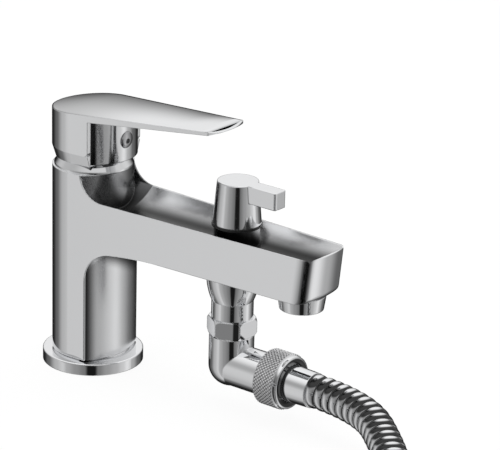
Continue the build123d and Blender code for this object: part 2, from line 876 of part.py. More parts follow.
with BuildPart() as diverter_knob:
    with BuildSketch(Plane.XZ):
        with BuildLine():
            Polyline(
                (diverter_x, knob_z),
                (diverter_x + knob_low_r, knob_z),
                (diverter_x + knob_top_r, knob_top_z),
                (diverter_x, knob_top_z),
                close=True,
            )
        make_face()
    revolve(axis=diverter_axis)
    with BuildSketch(Plane.XZ) as tail_side:
        with BuildLine():
            Polyline(
                (diverter_x, knob_top_z),
                (tail_tip_x, knob_top_z),
                (tail_tip_x, tail_low_z),
                (diverter_x + knob_low_r - tail_root_r, tail_low_z),
                (diverter_x + knob_low_r - tail_root_r, tail_low_z - tail_root_r),
                (diverter_x, tail_low_z - tail_root_r),
                close=True,
            )
        make_face()
    extrude(amount=0.5 * tail_w, both=True)
    tail_edges = diverter_knob.edges().filter_by(Axis.Z).group_by(Axis.X)[-1]
    fillet(tail_edges, tail_tip_r)
    fillet(diverter_knob.edges().group_by(Axis.Z)[-1], 0.4)
    with BuildSketch(Plane.XY.offset(knob_z)):
        with Locations((diverter_x, 0)):
            Circle(spindle_r + press_gap)
    extrude(amount=spindle_top_z + 0.2 - knob_z, mode=Mode.SUBTRACT)
    with BuildSketch(Plane.YZ.offset(diverter_x - knob_low_r - 1)):
        with Locations((0, knob_grub_z)):
            Circle(knob_grub_r + press_gap)
    extrude(amount=knob_low_r, mode=Mode.SUBTRACT)
keep(diverter_knob, "diverter_knob")

with BuildPart() as knob_screw:
    with BuildSketch(Plane.YZ.offset(diverter_x - spindle_r - press_gap - knob_grub_len)):
        with Locations((0, knob_grub_z)):
            Circle(knob_grub_r)
    extrude(amount=knob_grub_len)
keep(knob_screw, "knob_screw")

# Aerator in the end of the spout
aerator_spigot_top = aerator_socket_z - 1.0
with BuildPart() as aerator_housing:
    with BuildSketch(Plane.XZ):
        with BuildLine():
            Polyline(
                (aerator_x + aerator_lip_r - 1.4, aerator_z),
                (aerator_x + aerator_low_r, aerator_z),
                (aerator_x + aerator_top_r, spout_under_z - 0.1),
                (aerator_x + aerator_socket_r - 0.1, spout_under_z - 0.1),
                (aerator_x + aerator_socket_r - 0.1, aerator_spigot_top),
                (aerator_x + aerator_lip_r, aerator_spigot_top),
                (aerator_x + aerator_lip_r, aerator_z + 1.2),
                (aerator_x + aerator_lip_r - 1.4, aerator_z + 1.2),
                close=True,
            )
        make_face()
    revolve(axis=Axis((aerator_x, 0, 0), (0, 0, 1)))
keep(aerator_housing, "aerator_housing")

with BuildPart() as aerator_insert:
    with BuildSketch(Plane.XY.offset(aerator_z + 1.2)):
        with Locations((aerator_x, 0)):
            Circle(aerator_lip_r - 0.1)
    extrude(amount=aerator_insert_h)
    with BuildSketch(Plane.XY.offset(aerator_z + 1.2)):
        with Locations((aerator_x, 0)):
            with PolarLocations(3.0, 8):
                Circle(aerator_hole_r)
            with PolarLocations(5.4, 14):
                Circle(aerator_hole_r)
    extrude(amount=aerator_insert_h, mode=Mode.SUBTRACT)
keep(aerator_insert, "aerator_insert")

with BuildPart() as aerator_washer:
    with BuildSketch(Plane.XY.offset(aerator_spigot_top)):
        with Locations((aerator_x, 0)):
            Circle(aerator_socket_r - 0.1)
            Circle(aerator_lip_r - 1.6, mode=Mode.SUBTRACT)
    extrude(amount=aerator_socket_z - aerator_spigot_top)
keep(aerator_washer, "aerator_washer")

# Shower outlet: threaded collar, captive hexagon nut, sealing washer and elbow
outlet_axis = Axis((outlet_x, 0, 0), (0, 0, 1))
with BuildPart() as outlet_adapter:
    with BuildSketch(Plane.XZ):
        with BuildLine():
            Polyline(
                (outlet_x + water_r, tube_end_z),
                (outlet_x + outlet_thread_r, tube_end_z),
                (outlet_x + outlet_thread_r, collar_z),
                (outlet_x + collar_r, collar_z),
                (outlet_x + collar_r, outlet_z),
                (outlet_x + outlet_thread_r - 0.1, outlet_z),
                (outlet_x + outlet_thread_r - 0.1, outlet_thread_z - 0.5),
                (outlet_x + water_r, outlet_thread_z - 0.5),
                close=True,
            )
        make_face()
    revolve(axis=outlet_axis)
keep(outlet_adapter, "outlet_adapter")

with BuildPart() as outlet_nut:
    with BuildSketch(Plane.XY.offset(nut_z)):
        with Locations((outlet_x, 0)):
            RegularPolygon(0.5 * nut_flats, 6, major_radius=False, rotation=27)
    extrude(amount=collar_z - nut_z)
    with BuildSketch(Plane.XZ):
        corner = 0.5 * nut_flats / cos(pi / 6)
        with BuildLine():
            Polyline(
                (outlet_x, nut_z),
                (outlet_x + corner - nut_round, nut_z),
                (outlet_x + corner, nut_z + 1.6 * nut_round),
                (outlet_x + corner, collar_z - 1.6 * nut_round),
                (outlet_x + corner - nut_round, collar_z),
                (outlet_x, collar_z),
                close=True,
            )
        make_face()
    revolve(axis=outlet_axis, mode=Mode.INTERSECT)
    with BuildSketch(Plane.XY.offset(nut_z)):
        with Locations((outlet_x, 0)):
            Circle(nut_hole_r)
    extrude(amount=nut_lip_h, mode=Mode.SUBTRACT)
    with BuildSketch(Plane.XY.offset(nut_z + nut_lip_h)):
        with Locations((outlet_x, 0)):
            Circle(nut_bore_r)
    extrude(amount=collar_z, mode=Mode.SUBTRACT)
keep(outlet_nut, "outlet_nut")

elbow_flange_z = tube_end_z - washer_h - elbow_flange_h
with BuildPart() as outlet_washer:
    with BuildSketch(Plane.XY.offset(tube_end_z - washer_h)):
        with Locations((outlet_x, 0)):
            Circle(elbow_flange_r)
            Circle(water_r, mode=Mode.SUBTRACT)
    extrude(amount=washer_h)
keep(outlet_washer, "outlet_washer")

with BuildPart() as outlet_elbow:
    with BuildSketch(Plane.XY.offset(elbow_z)):
        with Locations((outlet_x, 0)):
            Circle(elbow_leg_r)
    extrude(amount=nut_z - 0.1 - elbow_z)
    with Locations((outlet_x, 0, elbow_z)):
        Sphere(elbow_leg_r)
    with BuildSketch(Plane.YZ.offset(outlet_x)):
        with Locations((0, elbow_z)):
            Circle(elbow_arm_r)
    extrude(amount=elbow_shoulder_x - outlet_x)
    with BuildSketch(Plane.YZ.offset(elbow_shoulder_x)):
        with Locations((0, elbow_z)):
            Circle(elbow_thread_r)
    extrude(amount=elbow_end_x - elbow_shoulder_x)
    with BuildSketch(Plane.XY.offset(nut_z - 0.1)):
        with Locations((outlet_x, 0)):
            Circle(elbow_neck_r)
    extrude(amount=elbow_flange_z - nut_z + 0.1)
    with BuildSketch(Plane.XY.offset(elbow_flange_z)):
        with Locations((outlet_x, 0)):
            Circle(elbow_flange_r)
    extrude(amount=elbow_flange_h)
    with BuildSketch(Plane.XY.offset(elbow_z)):
        with Locations((outlet_x, 0)):
            Circle(water_r)
    extrude(amount=tube_end_z, mode=Mode.SUBTRACT)
    with Locations((outlet_x, 0, elbow_z)):
        Sphere(water_r, mode=Mode.SUBTRACT)
    with BuildSketch(Plane.YZ.offset(outlet_x)):
        with Locations((0, elbow_z)):
            Circle(water_r)
    extrude(amount=elbow_end_x, mode=Mode.SUBTRACT)
keep(outlet_elbow, "outlet_elbow")

# Knurled union nut, its washer and the ferrule of the hose
union_axis = Axis((0, 0, elbow_z), (1, 0, 0))
flange_x = elbow_end_x + seal_t
flange_end_x = flange_x + 1.4
with BuildPart() as union_washer:
    with BuildSketch(Plane.YZ.offset(elbow_end_x)):
        with Locations((0, elbow_z)):
            Circle(elbow_thread_r - loose_gap)
            Circle(water_r, mode=Mode.SUBTRACT)
    extrude(amount=seal_t)
keep(union_washer, "union_washer")

with BuildPart() as union_nut:
    with BuildSketch(Plane.XZ):
        with BuildLine():
            Polyline(
                (knurl_start_x, elbow_z + elbow_thread_r + 0.2),
                (knurl_start_x, elbow_z + knurl_r - 0.6),
                (knurl_start_x + 0.6, elbow_z + knurl_r),
                (knurl_end_x - 0.6, elbow_z + knurl_r),
                (knurl_end_x, elbow_z + knurl_r - 0.6),
                (knurl_end_x, elbow_z + knurl_lip_r),
                (knurl_lip_x, elbow_z + knurl_lip_r),
                (knurl_lip_x, elbow_z + knurl_hole_r),
                (flange_end_x, elbow_z + knurl_hole_r),
                (flange_end_x, elbow_z + elbow_thread_r + 0.2),
                close=True,
            )
        make_face()
    revolve(axis=union_axis)
keep(union_nut, "union_nut")

with BuildPart() as hose_ferrule:
    with BuildSketch(Plane.XZ):
        with BuildLine():
            Polyline(
                (flange_x, elbow_z + hose_bore_r),
                (flange_x, elbow_z + ferrule_flange_r),
                (flange_end_x, elbow_z + ferrule_flange_r),
                (flange_end_x, elbow_z + ferrule_root_r),
                (ferrule_end_x, elbow_z + ferrule_tip_r),
                (ferrule_end_x, elbow_z + hose_bore_r),
                close=True,
            )
        make_face()
    revolve(axis=union_axis)
keep(hose_ferrule, "hose_ferrule")


def turn_radii(points):
    """Radius of the arc at each corner of a route: 0.45 of its shorter run over the half turn."""
    spots = [Vector(*point) for point in points]
    radii = []
    for before, corner, after in zip(spots, spots[1:], spots[2:]):
        run_in = corner - before
        run_out = after - corner
        half_turn = radians(run_in.get_angle(run_out)) / 2
        radii.append(0.45 * min(run_in.length, run_out.length) / tan(half_turn))
    return radii


def ring_plane(route, share):
    """Plane square to the route at a share of its length, with its X axis kept level."""
    tangent = route.tangent_at(share)
    level = Vector(0, 0, 1).cross(tangent).normalized()
    return Plane(origin=route.position_at(share), x_dir=level, z_dir=tangent)


def rib_stations(length):
    """Distances and radii of the rings: each rib rises, runs flat and falls into its groove."""
    count = round((length - 2 * rib_pitch) / rib_pitch)
    pitch = (length - 2 * rib_pitch) / count
    stations = [(0.0, hose_r), (rib_pitch, hose_r)]
    for n in range(count):
        start = rib_pitch + n * pitch
        stations.append((start + 0.12 * pitch, hose_r - rib_groove))
        stations.append((start + 0.30 * pitch, hose_r - 0.1 * rib_groove))
        stations.append((start + 0.60 * pitch, hose_r))
        stations.append((start + 0.96 * pitch, hose_r - 0.3 * rib_groove))
    stations.append((length - rib_pitch + 0.1, hose_r))
    stations.append((length, hose_r))
    return stations


def check_volume(name, piece, route, r):
    """Prints a tube's volume beside its section times its length."""
    expected = pi * (r**2 - hose_bore_r**2) * route.length
    print(name, "length", round(route.length, 1), "volume", round(piece.part.volume), round(expected))


# Hose to the first loop, along straight runs joined by arcs
lead_radii = turn_radii(hose_points)
print("hose_lead radii", [round(r, 1) for r in lead_radii])
with BuildLine() as lead_line:
    FilletPolyline(*hose_points, radius=lead_radii)
lead_route = lead_line.wire()

with BuildPart() as hose_lead:
    for along, r in rib_stations(lead_route.length):
        with BuildSketch(ring_plane(lead_route, along / lead_route.length)):
            Circle(r)
    loft(ruled=True)
with BuildPart() as lead_bore:
    with BuildSketch(Plane(origin=hose_points[0], x_dir=(0, 1, 0), z_dir=(1, 0, 0))):
        Circle(hose_bore_r)
    sweep(path=lead_route)
with hose_lead:
    add(lead_bore.part, mode=Mode.SUBTRACT)
check_volume("hose_lead", hose_lead, lead_route, hose_r)
keep(hose_lead, "hose_lead")

# Put-away length: loops spiral in on the surface, climb a layer and spiral out again on top
coil_start = Vector(*hose_points[-1])
heading = radians(coil_heading)
coil_centre = coil_start + coil_r * Vector(sin(heading), -cos(heading), 0)
start_angle = heading + pi / 2
half_deg = 0.5 * coil_turns_deg


def coil_spot(deg):
    """Point of the coil's centreline after a turn of so many degrees."""
    inward = coil_pitch * (half_deg - abs(deg - half_deg)) / 360
    climb = min(max((deg - half_deg) / coil_climb_deg + 0.5, 0), 1)
    z = lie_z + coil_pitch * 0.5 * (1 - cos(pi * climb))
    r = coil_r - inward
    angle = start_angle - radians(deg)
    return Vector(coil_centre.X + r * cos(angle), coil_centre.Y + r * sin(angle), z)


def coil_heading_at(deg):
    """Direction of the coil's centreline, level and square to its radius at both ends."""
    if deg in (0, coil_turns_deg):
        angle = start_angle - radians(deg)
        return Vector(sin(angle), -cos(angle), 0)
    return (coil_spot(deg + 0.5) - coil_spot(deg - 0.5)).normalized()


with BuildLine() as coil_line:
    for n in range(coil_steps):
        deg_in = coil_turns_deg * n / coil_steps
        deg_out = coil_turns_deg * (n + 1) / coil_steps
        near = coil_spot(deg_in)
        far = coil_spot(deg_out)
        leave = coil_heading_at(deg_in)
        arrive = coil_heading_at(deg_out)
        chord = far - near
        spread = 1 - leave.dot(arrive)
        slope = chord.dot(leave + arrive)
        reach = (sqrt(slope**2 + 2 * spread * chord.dot(chord)) - slope) / (2 * spread)
        middle = (near + far + reach * (leave - arrive)) * 0.5
        join = (far - near - reach * (leave + arrive)).normalized()
        TangentArc(near, middle, tangent=leave)
        TangentArc(middle, far, tangent=join)
coil_route = coil_line.wire()

with BuildPart() as hose_coil:
    with BuildSketch(Plane(origin=coil_start, z_dir=coil_heading_at(0))):
        Circle(hose_r)
        Circle(hose_bore_r, mode=Mode.SUBTRACT)
    sweep(path=coil_route)
check_volume("hose_coil", hose_coil, coil_route, hose_r)

samples = [coil_route.position_at(n / 420) for n in range(421)]
least_gap = min(
    (samples[a] - samples[b]).length - 2 * hose_r
    for a in range(len(samples))
    for b in range(a + 90, len(samples))
)
print("hose_coil least gap to itself", round(least_gap, 2))
keep(hose_coil, "hose_coil")

# Last straight length, its ferrule and the cone nut for the handset
tail_start = coil_spot(coil_turns_deg)
tail_dir = coil_heading_at(coil_turns_deg)
tail_side = tail_dir.cross(Vector(0, 0, 1))
tail_plane = Plane(origin=tail_start, x_dir=tail_side, z_dir=tail_dir)
foot_plane = tail_plane.offset(tail_len + end_ferrule_len + cone_len)
with BuildPart() as hose_tail:
    for along, r in rib_stations(tail_len):
        with BuildSketch(tail_plane.offset(along)):
            Circle(r)
    loft(ruled=True)
    with BuildSketch(tail_plane):
        Circle(hose_bore_r)
    extrude(amount=tail_len, mode=Mode.SUBTRACT)
keep(hose_tail, "hose_tail")

with BuildPart() as end_ferrule:
    with BuildSketch(tail_plane.offset(tail_len)):
        Circle(ferrule_root_r)
        Circle(hose_bore_r, mode=Mode.SUBTRACT)
    extrude(amount=end_ferrule_len)
keep(end_ferrule, "end_ferrule")

with BuildPart() as cone_nut:
    with BuildSketch(tail_plane.offset(tail_len + end_ferrule_len)):
        Circle(cone_narrow_r)
    with BuildSketch(foot_plane):
        Circle(cone_wide_r)
    loft(ruled=True)
    with BuildSketch(tail_plane.offset(tail_len + end_ferrule_len)):
        Circle(water_r)
    extrude(amount=cone_len, mode=Mode.SUBTRACT)
    with BuildSketch(foot_plane.offset(-cone_socket_len)):
        Circle(elbow_thread_r)
    extrude(amount=cone_socket_len, mode=Mode.SUBTRACT)
keep(cone_nut, "cone_nut")

# Handset: bent handle, round head, and a turning face with two sprays
foot = foot_plane.origin
tilt = radians(head_tilt_deg)
upward = Vector(0, 0, 1)
along_head = cos(tilt) * tail_dir + sin(tilt) * upward
head_normal = cos(tilt) * upward - sin(tilt) * tail_dir


def handle_plane(share):
    """Plane across the handle at a share of its bend."""
    bend = radians(handle_bend_deg) * share
    back = handle_start + handle_bend_r * sin(bend)
    rise = handle_bend_r * (1 - cos(bend))
    heading = cos(bend) * tail_dir + sin(bend) * upward
    return Plane(origin=foot + back * tail_dir + rise * upward, x_dir=tail_side, z_dir=heading)


head_centre = handle_plane(1).origin + head_ahead * along_head + head_above * head_normal
head_plane = Plane(origin=head_centre, x_dir=along_head, z_dir=head_normal)
head_side = Plane(origin=head_centre, x_dir=along_head, z_dir=tail_side)
print("handset face centre", [round(c, 2) for c in head_centre], "axis", [round(c, 4) for c in head_normal])

with BuildPart() as handset_body:
    for share, r in handle_radii:
        with BuildSketch(handle_plane(share)):
            Circle(r)
    loft()
    with BuildSketch(handle_plane(1)):
        Circle(handle_radii[-1][1])
    with BuildSketch(handle_plane(1).offset(handle_root_len)):
        Circle(handle_root_r)
    loft(ruled=True)
    with BuildSketch(head_side):
        with BuildLine():
            ThreePointArc((0, -head_back), (0.62 * head_r, 3.2 - head_back), (head_r, -4.0))
            Polyline(
                (head_r, -4.0),
                (head_r, head_rim_h - 1.5),
                (head_r - 1.2, head_rim_h),
                (cavity_r, head_rim_h),
                (cavity_r, cavity_floor),
                (0, cavity_floor),
                (0, -head_back),
            )
        make_face()
    revolve(axis=Axis(head_centre, head_normal))
    with BuildSketch(head_plane.offset(cavity_floor)):
        Circle(cavity_r)
    extrude(amount=4 * head_rim_h, mode=Mode.SUBTRACT)
    with BuildSketch(foot_plane.offset(-spigot_len)):
        Circle(elbow_thread_r - spigot_gap)
    extrude(amount=spigot_len + handle_start + 1)
    with BuildSketch(foot_plane.offset(-spigot_len)):
        Circle(hose_bore_r)
    extrude(amount=5 * spigot_len, mode=Mode.SUBTRACT)
keep(handset_body, "handset_body")

with BuildPart() as handset_washer:
    with BuildSketch(foot_plane.offset(-cone_socket_len)):
        Circle(elbow_thread_r - loose_gap)
        Circle(water_r, mode=Mode.SUBTRACT)
    extrude(amount=cone_socket_len - spigot_len)
keep(handset_washer, "handset_washer")

with BuildPart() as selector_ring:
    with BuildSketch(head_plane.offset(cavity_floor + 0.2)):
        Circle(ring_out_r)
    extrude(amount=ring_top - cavity_floor - 0.2)
    with BuildSketch(head_plane.offset(head_rim_h + 0.4)):
        with Locations((0.5 * (mat_out_r - tab_reach) - mat_out_r, 0)):
            Rectangle(tab_reach - mat_out_r, tab_w)
    extrude(amount=tab_h)
    with BuildSketch(head_plane.offset(cavity_floor + 0.2)):
        Circle(face_r + 0.1)
    extrude(amount=head_rim_h, mode=Mode.SUBTRACT)
keep(selector_ring, "selector_ring")

with BuildPart() as nozzle_mat:
    with BuildSketch(head_plane.offset(ring_top)):
        Circle(mat_out_r - 0.3)
        Circle(mat_in_r, mode=Mode.SUBTRACT)
    extrude(amount=mat_h)
    with BuildSketch(head_plane.offset(ring_top)):
        with PolarLocations(0.5 * (mat_in_r + mat_out_r), 20):
            Circle(pip_r)
    extrude(amount=mat_h + pip_h)
keep(nozzle_mat, "nozzle_mat")

with BuildPart() as spray_face:
    with BuildSketch(head_plane.offset(cavity_floor + 0.2)):
        Circle(face_r)
    extrude(amount=face_top - cavity_floor - 0.2)
    with BuildSketch(head_plane.offset(face_top)):
        with PolarLocations(0.36 * face_r, 8):
            Circle(0.8 * pip_r)
        with PolarLocations(0.66 * face_r, 14):
            Circle(0.8 * pip_r)
    extrude(amount=0.6 * pip_h)
keep(spray_face, "spray_face")

# Wall bracket: lies on its wall face and holds the cone nut in a slot that opens upwards
bracket_mid = 1 + 0.5 * bracket_len
wall_plane = Plane(origin=(foot.X, foot.Y, 0), x_dir=-tail_dir, z_dir=upward)
with BuildPart() as wall_bracket:
    with BuildSketch(wall_plane) as bracket_plan:
        with Locations((bracket_mid, 0)):
            Rectangle(bracket_len, bracket_w)
        fillet(bracket_plan.vertices().group_by(Axis.X)[-1], 14.0)
        fillet(bracket_plan.vertices().group_by(Axis.X)[0], 3.0)
    extrude(amount=bracket_h)
    fillet(wall_bracket.edges().group_by(Axis.Z)[-1], 2.0)
    with BuildSketch(foot_plane.offset(-cone_len)):
        Circle(cone_narrow_r + bracket_gap)
    with BuildSketch(foot_plane):
        Circle(cone_wide_r + bracket_gap)
    loft(ruled=True, mode=Mode.SUBTRACT)
    with BuildSketch(wall_plane.offset(foot.Z)):
        with Locations((bracket_mid, 0)):
            Rectangle(2 * bracket_len, bracket_mouth)
    extrude(amount=bracket_h, mode=Mode.SUBTRACT)
    with BuildSketch(wall_plane):
        with Locations((bracket_mid - bracket_screw_x, 0), (bracket_mid + bracket_screw_x, 0)):
            Circle(bracket_screw_r)
    extrude(amount=foot.Z, mode=Mode.SUBTRACT)
    with BuildSketch(wall_plane.offset(bracket_seat_z)):
        with Locations((bracket_mid - bracket_screw_x, 0), (bracket_mid + bracket_screw_x, 0)):
            Circle(2 * bracket_screw_r)
    extrude(amount=foot.Z - bracket_seat_z, mode=Mode.SUBTRACT)
keep(wall_bracket, "wall_bracket")
bracket_middle = foot - bracket_mid * tail_dir
print("bracket middle", round(bracket_middle.X, 2), round(bracket_middle.Y, 2))
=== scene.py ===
import json
import math

import bmesh
import bpy
from mathutils import Matrix, Vector


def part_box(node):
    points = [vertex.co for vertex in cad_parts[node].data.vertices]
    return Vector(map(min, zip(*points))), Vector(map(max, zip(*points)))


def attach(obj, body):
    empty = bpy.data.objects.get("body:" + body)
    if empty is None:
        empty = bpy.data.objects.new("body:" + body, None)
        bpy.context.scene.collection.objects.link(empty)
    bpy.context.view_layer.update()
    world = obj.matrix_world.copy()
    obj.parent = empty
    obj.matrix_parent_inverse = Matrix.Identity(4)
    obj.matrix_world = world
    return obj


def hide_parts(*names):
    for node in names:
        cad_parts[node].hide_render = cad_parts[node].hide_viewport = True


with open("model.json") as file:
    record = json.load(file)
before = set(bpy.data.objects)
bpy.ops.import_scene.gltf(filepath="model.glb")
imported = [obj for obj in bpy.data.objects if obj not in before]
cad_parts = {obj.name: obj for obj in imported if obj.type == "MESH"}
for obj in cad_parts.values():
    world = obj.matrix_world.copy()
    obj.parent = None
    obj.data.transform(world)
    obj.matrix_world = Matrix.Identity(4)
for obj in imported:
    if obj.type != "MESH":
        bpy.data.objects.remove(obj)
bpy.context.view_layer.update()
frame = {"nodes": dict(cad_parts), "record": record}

nodes = frame["nodes"]
MM = 0.001

# Camera: where the photograph was taken from
CAMERA_AZIMUTH = math.radians(37.84)
CAMERA_ELEVATION = math.radians(20.0)
CAMERA_ROLL = math.radians(1.51)
CAMERA_PLACE = (0.8553, -0.9710, 0.5449)
CAMERA_LENS = 193.8
SENSOR_WIDTH = 36.0
CAMERA_REACH = 20

# Chrome: colour and gloss, wipe marks, the slow wave of its reflections and the round of its edges
CHROME_COLOUR = (0.86, 0.865, 0.875, 1)
CHROME_ROUGHNESS = 0.045
SMUDGE_SCALE = 55
SMUDGE_DETAIL = 5
SMUDGE_LOW, SMUDGE_HIGH = 0.35, 0.75
GLOSS_LOW, GLOSS_HIGH = 0.75, 1.6
WAVE_SCALE = 38
WAVE_DETAIL = 1
WAVE_HEIGHT = 2 * MM
EDGE_ROUND = 0.7 * MM
EDGE_SAMPLES = 6

# Grain of the turned, moulded and rubber surfaces: its relief, its two tones and its change of gloss
GRAIN_DETAIL = 6
GRAIN_HEIGHT = 0.4 * MM
TONE_LOW, TONE_HIGH = 0.3, 0.7
GRAIN_GLOSS_LOW, GRAIN_GLOSS_HIGH = 0.8, 1.2

# Sockets of a colour mix
MIX_FACTOR, MIX_FIRST, MIX_SECOND, MIX_RESULT = 0, 6, 7, 2

# Painted shade and reflections on the plate: their dark colour, and how dull the hollows are
PAINTED_DARK_COLOUR = (0.02, 0.02, 0.02, 1)
HOLLOW_ROUGHNESS = 0.2

# Form of the body, for placing its painted shade and reflections
SIDE_TAPER = 0.042
COLUMN_RADIUS = 21.17 * MM
INNER_SHARE = 0.965
NECK_SHARE = 0.955
SPOUT_TOP = 94.2 * MM
SPOUT_BULGE = 2.2 * MM
CHANNEL_LOW = 85.5 * MM
CHANNEL_HIGH = 95.7 * MM
CHANNEL_START = 22.5 * MM
CHANNEL_END = 148.8 * MM
CHANNEL_SIGHT = 2.17
NECK_START = 9.5 * MM
NECK_TOP = 106.2 * MM
FRONT_START = 8 * MM
FRONT_END = 23.5 * MM
FRONT_TOP = 70.4 * MM
ARCH_SIGHT = 0.46
NOSE_START = 120 * MM
NOSE_RAKE = 0.102
NOSE_LEAN = 0.097
NEAR_SHARE = 0.4
CORNER_PLACE = 108.01 * MM

# Form of the lever's hub and of the nuts, for their painted shade and reflections
RECESS_LOW = 112.2 * MM
RECESS_HIGH = 134.5 * MM
RECESS_START = 13.3 * MM
RECESS_DULL = 0.3
LIP_FACE = 129.2 * MM

# Crown of the lever's top
PLATE_Z = 137.6 * MM
PLATE_RISE = 0.0773
PLATE_TAPER = 0.0923
PLATE_END = 84.4 * MM
PLATE_MARGIN = 0.1 * MM
HUB_RADIUS = 21.2 * MM
CROWN = 0.95 * MM
CROWN_EASE = 0.95
CROWN_SKIRT = 0.3 * MM
CROWN_ACROSS = 28
CROWN_STEPS = 16
CROWN_TOP_FACING = 0.5
CROWN_ANGLES = (3, 8, 14, 21, 29, 38, 48, 58, 68, 79, 90)

# Hose, from the ferrule to the cone nut: its ribs by share of a pitch and depth, the rings of painted shade
# in each groove, then its route
HOSE_DIAMETER = 17 * MM
RIB_PITCH = 5.0 * MM
RIB_DEPTH = 1.4 * MM
RIB_PROFILE = [
    (0.0, 0.55), (0.07, 1.0), (0.14, 0.62), (0.24, 0.20),
    (0.38, 0.03), (0.52, 0.0), (0.68, 0.06), (0.84, 0.24),
]
GROOVE_SHADE_RINGS = 2
HOSE_SIDES = 40
LEAD_POINTS = [
    (143.4, 0.0, 22.0),
    (174.4, 0.0, 22.0),
    (203.0, -20.5, 16.0),
    (231.0, -48.5, 11.0),
    (268.7, -88.5, 8.6),
    (302.1, -128.3, 8.6),
]
COIL_HEADING = math.radians(-50)
COIL_RADIUS = 94 * MM
COIL_PITCH = 17.6 * MM
COIL_TURNS = math.radians(876)
COIL_CLIMB = math.radians(180)
COIL_POINT_STEP = math.radians(12)
LIE_HEIGHT = 8.6 * MM
TAIL_LENGTH = 30 * MM
HOSE_Z = 22.0 * MM
ROUTE_RESOLUTION = 16
ROUTE_ORDER = 3

# Knurled nut
KNURL_END = 127.5 * MM
KNURL_RADIUS = 14.2 * MM
KNURL_DEPTH = 0.42 * MM
KNURL_COUNT = 46
KNURL_POINTS = 12
KNURL_ROWS = 26
KNURL_SHARPNESS = 4
KNURL_MARGIN = 0.2 * MM
NUT_EDGE = 0.6 * MM
NUT_BACK_RADIUS = 10.4 * MM
NUT_LIP_RADIUS = 13.3 * MM
NUT_HOLE_RADIUS = 9.6 * MM
NUT_HOLE_DEPTH = 2 * MM

# Fades of the painted shade and reflections: where each starts and ends, and how dark it is at each
CHANNEL_FADE = (6 * MM, 30 * MM, 0.985, 0.0)
NECK_FADE = (87 * MM, 98 * MM, 0.95, 0.52)
FRONT_EDGE_FADE = (-2.4 * MM, 3.6 * MM, 0.96, 0.0)
FRONT_TOP_FADE = (52 * MM, 60 * MM, 0.0, 0.92)
CORNER_RISE = (CORNER_PLACE - 6.5 * MM, CORNER_PLACE, 0.0, 0.99)
CORNER_FALL = (CORNER_PLACE, CORNER_PLACE + 4.0 * MM, 0.99, 0.0)
RECESS_FADE = (1.4 * MM, 3.4 * MM, 0.96, 0.0)
PLATE_FADE = (-8 * MM, 48 * MM, 0.42, 0.0)
RIB_RISE = (0.40, 0.58, 0.0, 0.97)
RIB_FALL = (0.86, 0.96, 0.97, 0.0)
GROOVE_FADE = (KNURL_RADIUS - 0.9 * KNURL_DEPTH, KNURL_RADIUS - 0.2 * KNURL_DEPTH, 0.88, 0.0)
LIP_FADE = (12.1 * MM, 12.7 * MM, 0.96, 0.0)
STRIP_RISE = (72.4 * MM, 73.2 * MM, 0.0, 0.96)
STRIP_FALL = (75.4 * MM, 75.8 * MM, 0.96, 0.0)

# World: light levels by share of a turn, 0 behind the object, 0.25 left, 0.5 at the camera, 0.75 right
LOW_BAND = [
    (0.0, 0.01), (0.10, 0.02), (0.17, 0.14), (0.25, 0.50), (0.305, 0.66),
    (0.34, 0.44), (0.40, 0.30), (0.455, 0.20), (0.478, 0.01), (0.522, 0.01),
    (0.545, 0.20), (0.60, 0.34), (0.66, 0.46), (0.71, 0.64), (0.75, 0.84),
    (0.80, 0.44), (0.86, 0.14), (0.93, 0.02), (1.0, 0.01),
]
HIGH_BAND = [
    (0.0, 0.90), (0.14, 0.74), (0.25, 0.50), (0.36, 0.30), (0.50, 0.18),
    (0.64, 0.40), (0.75, 0.66), (0.88, 0.80), (1.0, 0.90),
]

# World: heights of direction where the low band fades into the high one, and that one into white
LOW_TO_HIGH = (-0.06, 0.34)
HIGH_TO_WHITE = (0.40, 0.85)

# Floor and lamps: place and size in metres, power in watts
FLOOR_SIZE = 3.0
FLOOR_SQUARES = 8
FLOOR_DROP = 0.2 * MM
FLOOR_COLOUR = (0.93, 0.93, 0.93, 1)
FLOOR_ROUGHNESS = 0.9
FLOOR_GLOW = 0.92
LAMP_AIM = (0.05, 0, 0.05)
LAMPS = [
    ("left_box", (-0.5, -1.2, 0.9), 0.9, 9),
    ("top_box", (0.3, 0.1, 1.6), 1.0, 12),
]

# Nodes outside the picture, which the mirrors in it don't show
HIDDEN_FROM_MIRRORS = (
    "handset_body", "selector_ring", "spray_face", "nozzle_mat",
    "wall_bracket", "cone_nut", "end_ferrule",
)


def add_object(name, data):
    """A new object in the scene."""
    thing = bpy.data.objects.new(name, data)
    bpy.context.scene.collection.objects.link(thing)
    return thing


def side_by_side(rings, sides):
    """Numbers of each two neighbours round each ring of points but the last."""
    for ring in range(rings - 1):
        for n in range(sides):
            yield ring * sides + n, ring * sides + (n + 1) % sides


def new_material(name):
    """An empty node material and its node tree."""
    material = bpy.data.materials.new(name)
    material.use_nodes = True
    tree = material.node_tree
    return material, tree, tree.nodes["Principled BSDF"]


